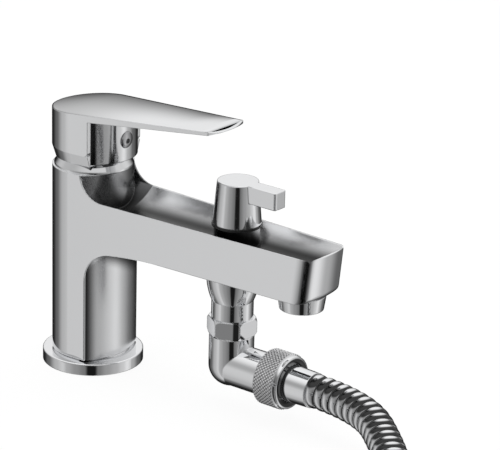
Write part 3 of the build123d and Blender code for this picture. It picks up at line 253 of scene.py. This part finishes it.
def chrome_material(name, colour=CHROME_COLOUR, roughness=CHROME_ROUGHNESS, ripple=0.02):
    """Polished plate: fine wipe marks vary its gloss and a slow wave moves its reflections."""
    material, tree, shader = new_material(name)
    shader.inputs["Base Color"].default_value = colour
    shader.inputs["Metallic"].default_value = 1.0
    place = tree.nodes.new("ShaderNodeTexCoord")
    smudge = tree.nodes.new("ShaderNodeTexNoise")
    smudge.inputs["Scale"].default_value = SMUDGE_SCALE
    smudge.inputs["Detail"].default_value = SMUDGE_DETAIL
    gloss = tree.nodes.new("ShaderNodeMapRange")
    gloss.inputs["From Min"].default_value = SMUDGE_LOW
    gloss.inputs["From Max"].default_value = SMUDGE_HIGH
    gloss.inputs["To Min"].default_value = roughness * GLOSS_LOW
    gloss.inputs["To Max"].default_value = roughness * GLOSS_HIGH
    wave = tree.nodes.new("ShaderNodeTexNoise")
    wave.inputs["Scale"].default_value = WAVE_SCALE
    wave.inputs["Detail"].default_value = WAVE_DETAIL
    bump = tree.nodes.new("ShaderNodeBump")
    bump.inputs["Strength"].default_value = ripple
    bump.inputs["Distance"].default_value = WAVE_HEIGHT
    edge = tree.nodes.new("ShaderNodeBevel")
    edge.samples = EDGE_SAMPLES
    edge.inputs["Radius"].default_value = EDGE_ROUND
    tree.links.new(place.outputs["Object"], smudge.inputs["Vector"])
    tree.links.new(place.outputs["Object"], wave.inputs["Vector"])
    tree.links.new(smudge.outputs["Fac"], gloss.inputs["Value"])
    tree.links.new(gloss.outputs["Result"], shader.inputs["Roughness"])
    tree.links.new(wave.outputs["Fac"], bump.inputs["Height"])
    tree.links.new(edge.outputs["Normal"], bump.inputs["Normal"])
    tree.links.new(bump.outputs["Normal"], shader.inputs["Normal"])
    return material


def node_tools(tree):
    """Two functions that add nodes to the tree: a maths node, and a smooth fade between two levels."""

    def maths(operation, *values):
        node = tree.nodes.new("ShaderNodeMath")
        node.operation = operation
        for socket, value in zip(node.inputs, values):
            if isinstance(value, (int, float)):
                socket.default_value = value
            else:
                tree.links.new(value, socket)
        return node.outputs[0]

    def fade(value, start, end, first, last):
        node = tree.nodes.new("ShaderNodeMapRange")
        node.interpolation_type = "SMOOTHSTEP"
        levels = {"From Min": start, "From Max": end, "To Min": first, "To Max": last}
        for name, level in levels.items():
            node.inputs[name].default_value = level
        tree.links.new(value, node.inputs["Value"])
        return node.outputs["Result"]

    return maths, fade


def rightward(maths, x, y):
    """How far a place lies to the right in the photograph."""
    across = maths("MULTIPLY", x, math.cos(CAMERA_AZIMUTH))
    return maths("MULTIPLY_ADD", y, math.sin(CAMERA_AZIMUTH), across)


def from_hose_axis(maths, y, z):
    """Distance from the axis of the union nut."""
    rise = maths("SUBTRACT", z, HOSE_Z)
    return maths("SQRT", maths("ADD", maths("MULTIPLY", y, y), maths("POWER", rise, 2.0)))


def paint_shade_and_reflections(material, spots, source="Object"):
    """Paints shade and dark reflections into a plate's colour by place, as black screens mirrored in hollows
    and soft corners would show, and dulls it there.
    """
    tree = material.node_tree
    shader = tree.nodes["Principled BSDF"]
    maths, fade = node_tools(tree)
    place = tree.nodes.new("ShaderNodeTexCoord")
    split = tree.nodes.new("ShaderNodeSeparateXYZ")
    tree.links.new(place.outputs[source], split.inputs["Vector"])
    dark, dull = spots(maths, fade, *split.outputs)
    mix = tree.nodes.new("ShaderNodeMix")
    mix.data_type = "RGBA"
    mix.inputs[MIX_FIRST].default_value = shader.inputs["Base Color"].default_value
    mix.inputs[MIX_SECOND].default_value = PAINTED_DARK_COLOUR
    tree.links.new(dark, mix.inputs[MIX_FACTOR])
    tree.links.new(mix.outputs[MIX_RESULT], shader.inputs["Base Color"])
    gloss = shader.inputs["Roughness"].links[0].from_socket
    tree.links.new(maths("MULTIPLY_ADD", dull, HOLLOW_ROUGHNESS, gloss), shader.inputs["Roughness"])


def body_painted_shade_and_reflections(maths, fade, x, y, z):
    """Painted shade in the channel and on the front of the neck, painted shade and a dark reflection on the
    front of the column, and a dark reflection at the nose's near corner.
    """

    def all_of(*tests):
        result = tests[0]
        for test in tests[1:]:
            result = maths("MULTIPLY", result, test)
        return result

    half = maths("MULTIPLY_ADD", x, -SIDE_TAPER, COLUMN_RADIUS)
    across = maths("DIVIDE", y, half)
    inner = maths("LESS_THAN", maths("ABSOLUTE", across), INNER_SHARE)
    right = rightward(maths, x, y)
    drop = maths("SUBTRACT", z, SPOUT_TOP)

    bulged = maths("MULTIPLY_ADD", maths("MULTIPLY", across, across), SPOUT_BULGE, x)
    reach = maths("MULTIPLY_ADD", drop, -NOSE_RAKE, bulged)
    channel = all_of(
        inner,
        maths("GREATER_THAN", z, CHANNEL_LOW),
        maths("LESS_THAN", z, CHANNEL_HIGH),
        maths("GREATER_THAN", x, CHANNEL_START),
        maths("LESS_THAN", reach, CHANNEL_END),
    )
    sight = maths("MULTIPLY_ADD", drop, CHANNEL_SIGHT, maths("ADD", y, half))
    channel_dark = maths("MULTIPLY", channel, fade(sight, *CHANNEL_FADE))

    neck = all_of(
        maths("GREATER_THAN", across, -NECK_SHARE),
        maths("GREATER_THAN", z, CHANNEL_LOW),
        maths("LESS_THAN", z, NECK_TOP),
        maths("GREATER_THAN", x, NECK_START),
        maths("LESS_THAN", x, CHANNEL_START),
    )
    neck_dark = maths("MULTIPLY", neck, fade(z, *NECK_FADE))

    front = all_of(
        inner,
        maths("LESS_THAN", z, FRONT_TOP),
        maths("GREATER_THAN", x, FRONT_START),
        maths("LESS_THAN", x, FRONT_END),
    )
    front_edge = fade(right, *FRONT_EDGE_FADE)
    front_top = fade(maths("MULTIPLY_ADD", y, ARCH_SIGHT, z), *FRONT_TOP_FADE)
    front_dark = maths("MULTIPLY", front, maths("MAXIMUM", front_edge, front_top))

    corner = maths("MULTIPLY_ADD", drop, -NOSE_LEAN, right)
    near_side = all_of(maths("LESS_THAN", across, NEAR_SHARE), maths("GREATER_THAN", x, NOSE_START))
    stripe = maths("MINIMUM", fade(corner, *CORNER_RISE), fade(corner, *CORNER_FALL))
    corner_dark = maths("MULTIPLY", near_side, stripe)

    hollow_dark = maths("MAXIMUM", channel_dark, neck_dark)
    dark = maths("MAXIMUM", hollow_dark, maths("MAXIMUM", front_dark, corner_dark))
    dull = maths("MAXIMUM", maths("MAXIMUM", channel, neck), front)
    return dark, dull


def lever_painted_reflections(maths, fade, x, y, z):
    """Painted dark reflections: at the near edge of the hub's recess, and a grey end of the lever's top."""
    right = rightward(maths, x, y)
    above = maths("GREATER_THAN", z, RECESS_LOW)
    high = maths("MULTIPLY", above, maths("LESS_THAN", z, RECESS_HIGH))
    recess = maths("MULTIPLY", high, maths("GREATER_THAN", x, RECESS_START))
    recess_dark = maths("MULTIPLY", recess, fade(right, *RECESS_FADE))
    top = maths("GREATER_THAN", maths("MULTIPLY_ADD", x, -PLATE_RISE, z), PLATE_Z - PLATE_MARGIN)
    top_dark = maths("MULTIPLY", top, fade(x, *PLATE_FADE))
    return maths("MAXIMUM", recess_dark, top_dark), maths("MULTIPLY", recess, RECESS_DULL)


def hose_painted_reflection(maths, fade, x, y, z):
    """Painted dark reflection: a band on the upper side of the ribs, by the way the surface faces."""
    return maths("MINIMUM", fade(z, *RIB_RISE), fade(z, *RIB_FALL)), 0.0


def knurl_painted_shade(maths, fade, x, y, z):
    """Painted shade in the bottoms of the knurl's grooves."""
    return fade(from_hose_axis(maths, y, z), *GROOVE_FADE), 0.0


def nut_lip_painted_shade(maths, fade, x, y, z):
    """Painted shade on the union nut's front face inside its lip."""
    radius = from_hose_axis(maths, y, z)
    ahead = maths("GREATER_THAN", x, LIP_FACE)
    return maths("MULTIPLY", ahead, fade(radius, *LIP_FADE)), 0.0


def outlet_nut_painted_reflection(maths, fade, x, y, z):
    """A painted dark reflection: a strip beside the edge of the six-sided nut."""
    right = rightward(maths, x, y)
    return maths("MINIMUM", fade(right, *STRIP_RISE), fade(right, *STRIP_FALL)), 0.0


def grained_material(name, low, high, metallic, roughness, scale, depth, stretch=(1, 1, 1)):
    """A turned, moulded or rubber surface: two close tones and a fine grain in its relief."""
    material, tree, shader = new_material(name)
    shader.inputs["Metallic"].default_value = metallic
    place = tree.nodes.new("ShaderNodeTexCoord")
    mapping = tree.nodes.new("ShaderNodeMapping")
    mapping.inputs["Scale"].default_value = stretch
    grain = tree.nodes.new("ShaderNodeTexNoise")
    grain.inputs["Scale"].default_value = scale
    grain.inputs["Detail"].default_value = GRAIN_DETAIL
    tone = tree.nodes.new("ShaderNodeValToRGB")
    tone.color_ramp.elements[0].position = TONE_LOW
    tone.color_ramp.elements[0].color = (*low, 1)
    tone.color_ramp.elements[1].position = TONE_HIGH
    tone.color_ramp.elements[1].color = (*high, 1)
    gloss = tree.nodes.new("ShaderNodeMapRange")
    gloss.inputs["To Min"].default_value = roughness * GRAIN_GLOSS_LOW
    gloss.inputs["To Max"].default_value = roughness * GRAIN_GLOSS_HIGH
    bump = tree.nodes.new("ShaderNodeBump")
    bump.inputs["Strength"].default_value = depth
    bump.inputs["Distance"].default_value = GRAIN_HEIGHT
    tree.links.new(place.outputs["Object"], mapping.inputs["Vector"])
    tree.links.new(mapping.outputs["Vector"], grain.inputs["Vector"])
    tree.links.new(grain.outputs["Fac"], tone.inputs["Fac"])
    tree.links.new(tone.outputs["Color"], shader.inputs["Base Color"])
    tree.links.new(grain.outputs["Fac"], gloss.inputs["Value"])
    tree.links.new(gloss.outputs["Result"], shader.inputs["Roughness"])
    tree.links.new(grain.outputs["Fac"], bump.inputs["Height"])
    tree.links.new(bump.outputs["Normal"], shader.inputs["Normal"])
    return material


chrome = chrome_material("polished_chrome")
# The six plates below get painted shade and dark reflections in their colour.
body_chrome = chrome_material("body_chrome")
paint_shade_and_reflections(body_chrome, body_painted_shade_and_reflections)
lever_chrome = chrome_material("lever_chrome", ripple=0.015)
paint_shade_and_reflections(lever_chrome, lever_painted_reflections)
hose_chrome = chrome_material("hose_chrome", roughness=0.10, ripple=0.03)
paint_shade_and_reflections(hose_chrome, hose_painted_reflection, "Normal")
knurl_chrome = chrome_material("knurl_chrome", colour=(0.92, 0.92, 0.93, 1), roughness=0.26)
paint_shade_and_reflections(knurl_chrome, knurl_painted_shade)
nut_chrome = chrome_material("nut_chrome")
paint_shade_and_reflections(nut_chrome, nut_lip_painted_shade)
outlet_nut_chrome = chrome_material("outlet_nut_chrome")
paint_shade_and_reflections(outlet_nut_chrome, outlet_nut_painted_reflection)
brass = grained_material("turned_brass", (0.60, 0.43, 0.20), (0.74, 0.56, 0.29), 1, 0.3, 300, 0.2, (1, 1, 6))
steel = grained_material("plain_steel", (0.45, 0.45, 0.46), (0.6, 0.6, 0.61), 1, 0.35, 300, 0.2, (6, 1, 1))
rubber = grained_material("black_rubber", (0.012, 0.012, 0.012), (0.03, 0.03, 0.03), 0, 0.7, 500, 0.3)
ceramic = grained_material("white_ceramic", (0.80, 0.79, 0.76), (0.88, 0.87, 0.84), 0, 0.2, 150, 0.02)
moulding = grained_material("cartridge_moulding", (0.70, 0.70, 0.68), (0.80, 0.80, 0.78), 0, 0.45, 400, 0.15)
black_plastic = grained_material("black_plastic", (0.01, 0.01, 0.01), (0.02, 0.02, 0.02), 0, 0.4, 400, 0.1)
index_chrome = chrome_material("index_chrome", colour=(0.5, 0.5, 0.51, 1), roughness=0.14)
plated_plastic = chrome_material("plated_plastic", colour=(0.80, 0.80, 0.82, 1), roughness=0.07, ripple=0.03)
grey_plastic = grained_material("grey_plastic", (0.50, 0.51, 0.52), (0.58, 0.59, 0.60), 0, 0.45, 400, 0.1)

SLOT_MATERIALS = {
    "chrome": chrome,
    "lever_chrome": lever_chrome,
    "brass": brass,
    "steel": steel,
    "rubber": rubber,
    "disc": ceramic,
    "cartridge_plastic": moulding,
    "black_plastic": black_plastic,
    "index": index_chrome,
    "hose": hose_chrome,
    "plated_plastic": plated_plastic,
    "grey_plastic": grey_plastic,
}


def dress_nodes():
    """Gives every CAD node the material of its slot."""
    for part in frame["record"]["subparts"]:
        piece = nodes[part["node"]]
        piece.data.materials.clear()
        piece.data.materials.append(SLOT_MATERIALS[part["material_slot"]])
    nodes["body"].data.materials[0] = body_chrome
    nodes["outlet_nut"].data.materials[0] = outlet_nut_chrome
    for name in HIDDEN_FROM_MIRRORS:
        nodes[name].visible_glossy = False


def lever_crown():
    """The gentle crown of the lever's top, over the shallow hollow of the CAD lever."""
    stations = [-HUB_RADIUS * math.cos(math.radians(angle)) for angle in CROWN_ANGLES]
    stations += [PLATE_END * n / CROWN_STEPS for n in range(1, CROWN_STEPS + 1)]
    verts = []
    for x in stations:
        if x < 0:
            half = math.sqrt(HUB_RADIUS**2 - x**2)
            rise = CROWN * (half / HUB_RADIUS) ** 2
        else:
            half = HUB_RADIUS - PLATE_TAPER * x
            rise = min(CROWN, CROWN_EASE * PLATE_RISE * (PLATE_END - x))
        rim = PLATE_Z + PLATE_RISE * x
        for n in range(CROWN_ACROSS + 1):
            share = 2 * n / CROWN_ACROSS - 1
            verts.append((x, half * share, rim + rise * (1 - share**2)))
        verts.append((x, half, rim - CROWN_SKIRT))
        verts.append((x, -half, rim - CROWN_SKIRT))
    ring = CROWN_ACROSS + 3
    faces = [(a, a + ring, b + ring, b) for a, b in side_by_side(len(stations), ring)]
    faces.append(tuple(range(ring)))
    faces.append(tuple(reversed(range(len(verts) - ring, len(verts)))))
    mesh = bpy.data.meshes.new("lever_crown")
    mesh.from_pydata(verts, [], faces)
    for face in mesh.polygons:
        face.use_smooth = face.normal.z > CROWN_TOP_FACING
    mesh.materials.append(lever_chrome)
    crown = add_object("lever_crown", mesh)
    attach(crown, "lever_handle")


def hose_points():
    """Control points of the whole hose in metres: the lead as given points, the coil by a loop, the tail."""
    points = [Vector(p) * MM for p in LEAD_POINTS]
    start = points[-1]
    centre = start + COIL_RADIUS * Vector((math.sin(COIL_HEADING), -math.cos(COIL_HEADING), 0))
    first_angle = COIL_HEADING + math.pi / 2
    steps = round(COIL_TURNS / COIL_POINT_STEP)
    step = COIL_TURNS / steps
    outset = 1 / math.cos(step / 4)
    for n in range(steps):
        turn = (n + 0.5) * step
        inward = COIL_PITCH * (COIL_TURNS / 2 - abs(turn - COIL_TURNS / 2)) / (2 * math.pi)
        climb = min(max((turn - COIL_TURNS / 2) / COIL_CLIMB + 0.5, 0), 1)
        radius = (COIL_RADIUS - inward) * outset
        angle = first_angle - turn
        height = LIE_HEIGHT + COIL_PITCH * 0.5 * (1 - math.cos(math.pi * climb))
        points.append(Vector((
            centre.x + radius * math.cos(angle), centre.y + radius * math.sin(angle), height
        )))
    last_angle = first_angle - COIL_TURNS
    end = Vector((
        centre.x + COIL_RADIUS * math.cos(last_angle),
        centre.y + COIL_RADIUS * math.sin(last_angle),
        LIE_HEIGHT + COIL_PITCH,
    ))
    points.append(end)
    points.append(end + TAIL_LENGTH * Vector((math.sin(last_angle), -math.cos(last_angle), 0)))
    return points


def route_line(points):
    """Points along the smooth line of a route, read from its NURBS spline."""
    curve = bpy.data.curves.new("hose_route", "CURVE")
    curve.dimensions = "3D"
    curve.resolution_u = ROUTE_RESOLUTION
    spline = curve.splines.new("NURBS")
    spline.points.add(len(points) - 1)
    for spot, point in zip(spline.points, points):
        spot.co = (*point, 1)
    spline.order_u = ROUTE_ORDER
    spline.use_endpoint_u = True
    holder = add_object("hose_route", curve)
    bpy.context.view_layer.update()
    mesh = bpy.data.meshes.new_from_object(holder)
    line = [v.co.copy() for v in mesh.vertices]
    bpy.data.objects.remove(holder)
    bpy.data.meshes.remove(mesh)
    return line


def lengths_along(line):
    """Distance of each point from the start of a line."""
    along = [0.0]
    for a, b in zip(line, line[1:]):
        along.append(along[-1] + (b - a).length)
    return along


def spot_at(line, along, distance, hint):
    """Place and direction at a distance along a line, and the index of its piece."""
    while hint < len(line) - 2 and along[hint + 1] < distance:
        hint += 1
    share = (distance - along[hint]) / max(along[hint + 1] - along[hint], 1e-9)
    place = line[hint].lerp(line[hint + 1], share)
    before = line[max(hint - 1, 0)]
    after = line[min(hint + 2, len(line) - 1)]
    return place, (after - before).normalized(), hint


def ribbed_tube(name, line):
    """A tube along a line whose wall rises and falls in ribs, plain for a rib at each end, with painted
    shade in black at the bottom of each groove.
    """
    along = lengths_along(line)
    total = along[-1]
    ribs = round((total - 2 * RIB_PITCH) / RIB_PITCH)
    pitch = (total - 2 * RIB_PITCH) / ribs
    rings = [(0.0, 1.0), (0.0, 0.0), (0.5 * RIB_PITCH, 0.0)]
    first_rib = len(rings)
    for n in range(ribs):
        start = RIB_PITCH + n * pitch
        rings += [(start + share * pitch, depth) for share, depth in RIB_PROFILE]
    rings += [(total - 0.5 * RIB_PITCH, 0.0), (total, 0.0), (total, 1.0)]
    mesh = bpy.data.meshes.new(name)
    verts = []
    hint = 0
    for distance, depth in rings:
        place, direction, hint = spot_at(line, along, distance, hint)
        level = Vector((0, 0, 1)).cross(direction).normalized()
        rise = direction.cross(level)
        radius = 0.5 * HOSE_DIAMETER - depth * RIB_DEPTH
        for side in range(HOSE_SIDES):
            angle = 2 * math.pi * side / HOSE_SIDES
            verts.append(place + radius * (math.cos(angle) * level + math.sin(angle) * rise))
    pairs = side_by_side(len(rings), HOSE_SIDES)
    faces = [(a, b, b + HOSE_SIDES, a + HOSE_SIDES) for a, b in pairs]
    faces.append(tuple(reversed(range(HOSE_SIDES))))
    faces.append(tuple(range(len(verts) - HOSE_SIDES, len(verts))))
    mesh.from_pydata(verts, [], faces)
    mesh.shade_smooth()
    mesh.materials.append(hose_chrome)
    mesh.materials.append(black_plastic)
    # Painted shade: the rings at the bottom of each groove take the black material in place of the shade
    # there.
    for n in range(ribs):
        start = (first_rib + n * len(RIB_PROFILE)) * HOSE_SIDES
        for face in range(start, start + GROOVE_SHADE_RINGS * HOSE_SIDES):
            mesh.polygons[face].material_index = 1
    return add_object(name, mesh), total


def knurled_nut():
    """The union nut with a diamond knurl cut round it, on the CAD nut's own profile."""
    low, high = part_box("union_nut")
    centre_z = 0.5 * (low.z + high.z)
    lip_x = high.x
    around = KNURL_COUNT * KNURL_POINTS
    rows = [(low.x, NUT_BACK_RADIUS, 0), (low.x, KNURL_RADIUS - NUT_EDGE, 0)]
    for n in range(KNURL_ROWS + 1):
        share = n / KNURL_ROWS
        x = low.x + NUT_EDGE * 0.5 + (KNURL_END - low.x - NUT_EDGE) * share
        rows.append((x, KNURL_RADIUS, 1))
    rows += [
        (KNURL_END, KNURL_RADIUS - NUT_EDGE, 0),
        (KNURL_END, NUT_LIP_RADIUS, 0),
        (lip_x - 0.5 * NUT_EDGE, NUT_LIP_RADIUS, 0),
        (lip_x, NUT_LIP_RADIUS - 0.5 * NUT_EDGE, 0),
        (lip_x, NUT_HOLE_RADIUS, 0),
        (lip_x - NUT_HOLE_DEPTH, NUT_HOLE_RADIUS, 0),
    ]
    verts = []
    turn = 2 * math.pi
    for x, radius, cut in rows:
        for n in range(around):
            angle = turn * n / around
            depth = 0.0
            if cut:
                along = (x - low.x) / (KNURL_RADIUS * turn / KNURL_COUNT)
                u = (KNURL_COUNT * angle / turn + along) % 1
                v = (KNURL_COUNT * angle / turn - along) % 1
                groove = max(1 - KNURL_SHARPNESS * min(u, 1 - u), 0)
                other = max(1 - KNURL_SHARPNESS * min(v, 1 - v), 0)
                depth = KNURL_DEPTH * max(groove, other)
            r = radius - depth
            verts.append((x, r * math.sin(angle), centre_z + r * math.cos(angle)))
    faces = [(a, a + around, b + around, b) for a, b in side_by_side(len(rows), around)]
    mesh = bpy.data.meshes.new("union_nut_knurled")
    mesh.from_pydata(verts, [], faces)
    nut = add_object("union_nut_knurled", mesh)
    mesh.materials.append(knurl_chrome)
    mesh.materials.append(nut_chrome)
    for face in mesh.polygons:
        x = face.center.x
        knurled = low.x + KNURL_MARGIN < x < KNURL_END - KNURL_MARGIN
        face.material_index = 0 if knurled else 1
        face.use_smooth = not knurled
    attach(nut, "mixer")
    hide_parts("union_nut")


def make_hose():
    """The ribbed hose from its first ferrule through the coil to the far one."""
    line = route_line(hose_points())
    tube, total = ribbed_tube("ribbed_hose", line)
    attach(tube, "mixer")
    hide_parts("hose_lead", "hose_coil", "hose_tail")
    [tuple(p) for p in line]


def studio_world():
    """World light by direction, with azimuth counted from the camera's side of the object."""
    world = bpy.data.worlds.new("studio")
    bpy.context.scene.world = world
    world.use_nodes = True
    tree = world.node_tree
    tree.nodes.clear()
    place = tree.nodes.new("ShaderNodeTexCoord")

    def dot_with(direction):
        node = tree.nodes.new("ShaderNodeVectorMath")
        node.operation = "DOT_PRODUCT"
        node.inputs[1].default_value = direction
        tree.links.new(place.outputs["Generated"], node.inputs[0])
        return node.outputs["Value"]

    towards = dot_with((math.sin(CAMERA_AZIMUTH), -math.cos(CAMERA_AZIMUTH), 0))
    aside = dot_with((math.cos(CAMERA_AZIMUTH), math.sin(CAMERA_AZIMUTH), 0))
    height = dot_with((0, 0, 1))

    maths, fade = node_tools(tree)
    turn = maths("ARCTAN2", aside, towards)
    share = maths("MULTIPLY_ADD", turn, 0.5 / math.pi, 0.5)

    def ramp(value, stops):
        node = tree.nodes.new("ShaderNodeValToRGB")
        node.color_ramp.interpolation = "EASE"
        elements = node.color_ramp.elements
        elements[0].position, elements[1].position = stops[0][0], stops[-1][0]
        elements[0].color = (stops[0][1],) * 3 + (1,)
        elements[1].color = (stops[-1][1],) * 3 + (1,)
        for position, level in stops[1:-1]:
            element = elements.new(position)
            element.color = (level,) * 3 + (1,)
        tree.links.new(value, node.inputs["Fac"])
        return node.outputs["Color"]

    low_band = ramp(share, LOW_BAND)
    high_band = ramp(share, HIGH_BAND)
    zenith = tree.nodes.new("ShaderNodeRGB")
    zenith.outputs[0].default_value = (1, 1, 1, 1)

    def blend(low, high, start, end):
        mix = tree.nodes.new("ShaderNodeMix")
        mix.data_type = "RGBA"
        tree.links.new(fade(height, start, end, 0.0, 1.0), mix.inputs[MIX_FACTOR])
        tree.links.new(low, mix.inputs[MIX_FIRST])
        tree.links.new(high, mix.inputs[MIX_SECOND])
        return mix.outputs[MIX_RESULT]

    sides = blend(low_band, high_band, *LOW_TO_HIGH)
    dome = blend(sides, zenith.outputs[0], *HIGH_TO_WHITE)

    studio = tree.nodes.new("ShaderNodeBackground")
    tree.links.new(dome, studio.inputs["Color"])
    studio.inputs["Strength"].default_value = 1.0
    paper = tree.nodes.new("ShaderNodeBackground")
    paper.inputs["Color"].default_value = (1, 1, 1, 1)
    paper.inputs["Strength"].default_value = 1.0
    path = tree.nodes.new("ShaderNodeLightPath")
    choose = tree.nodes.new("ShaderNodeMixShader")
    tree.links.new(path.outputs["Is Camera Ray"], choose.inputs[0])
    tree.links.new(studio.outputs[0], choose.inputs[1])
    tree.links.new(paper.outputs[0], choose.inputs[2])
    out = tree.nodes.new("ShaderNodeOutputWorld")
    tree.links.new(choose.outputs[0], out.inputs["Surface"])


def studio_floor():
    """A pale sheet under the mixer that takes its soft shadow."""
    mesh = bpy.data.meshes.new("floor")
    grid = bmesh.new()
    bmesh.ops.create_grid(grid, x_segments=FLOOR_SQUARES, y_segments=FLOOR_SQUARES, size=FLOOR_SIZE)
    grid.to_mesh(mesh)
    grid.free()
    floor = add_object("floor", mesh)
    material, tree, shader = new_material("pale_sheet")
    shader.inputs["Base Color"].default_value = FLOOR_COLOUR
    shader.inputs["Roughness"].default_value = FLOOR_ROUGHNESS
    glow = tree.nodes.new("ShaderNodeEmission")
    glow.inputs["Color"].default_value = (1, 1, 1, 1)
    glow.inputs["Strength"].default_value = 1.0
    path = tree.nodes.new("ShaderNodeLightPath")
    share = tree.nodes.new("ShaderNodeMath")
    share.operation = "MULTIPLY"
    share.inputs[1].default_value = FLOOR_GLOW
    mix = tree.nodes.new("ShaderNodeMixShader")
    out = tree.nodes["Material Output"]
    tree.links.new(path.outputs["Is Camera Ray"], share.inputs[0])
    tree.links.new(share.outputs[0], mix.inputs[0])
    tree.links.new(shader.outputs[0], mix.inputs[1])
    tree.links.new(glow.outputs[0], mix.inputs[2])
    tree.links.new(mix.outputs[0], out.inputs["Surface"])
    mesh.materials.append(material)
    floor.location.z = -FLOOR_DROP
    floor.visible_glossy = False


def soft_light(name, place, size, power):
    """A large area lamp aimed at the mixer, out of the reflections that the world draws."""
    data = bpy.data.lights.new(name, "AREA")
    data.shape = "RECTANGLE"
    data.size = data.size_y = size
    data.energy = power
    lamp = add_object(name, data)
    lamp.location = place
    lamp.rotation_euler = (Vector(LAMP_AIM) - Vector(place)).to_track_quat("-Z", "Y").to_euler()
    lamp.visible_glossy = False


def place_camera():
    """The photograph's view: its direction, distance, roll and lens."""
    az, el, roll = CAMERA_AZIMUTH, CAMERA_ELEVATION, CAMERA_ROLL
    back = Vector((math.sin(az) * math.cos(el), -math.cos(az) * math.cos(el), math.sin(el)))
    right = Vector((math.cos(az), math.sin(az), 0))
    up = back.cross(right)
    tilted_right = math.cos(roll) * right + math.sin(roll) * up
    tilted_up = math.cos(roll) * up - math.sin(roll) * right
    data = bpy.data.cameras.new("photo_view")
    data.sensor_fit = "HORIZONTAL"
    data.sensor_width = SENSOR_WIDTH
    data.lens = CAMERA_LENS
    data.clip_end = CAMERA_REACH
    camera = add_object("photo_view", data)
    turn = Matrix((tilted_right, tilted_up, back)).transposed().to_4x4()
    camera.matrix_world = Matrix.Translation(CAMERA_PLACE) @ turn
    bpy.context.scene.camera = camera


dress_nodes()
lever_crown()
knurled_nut()
make_hose()
studio_world()
studio_floor()
for lamp in LAMPS:
    soft_light(*lamp)
place_camera()
bpy.context.scene.view_settings.view_transform = "Standard"
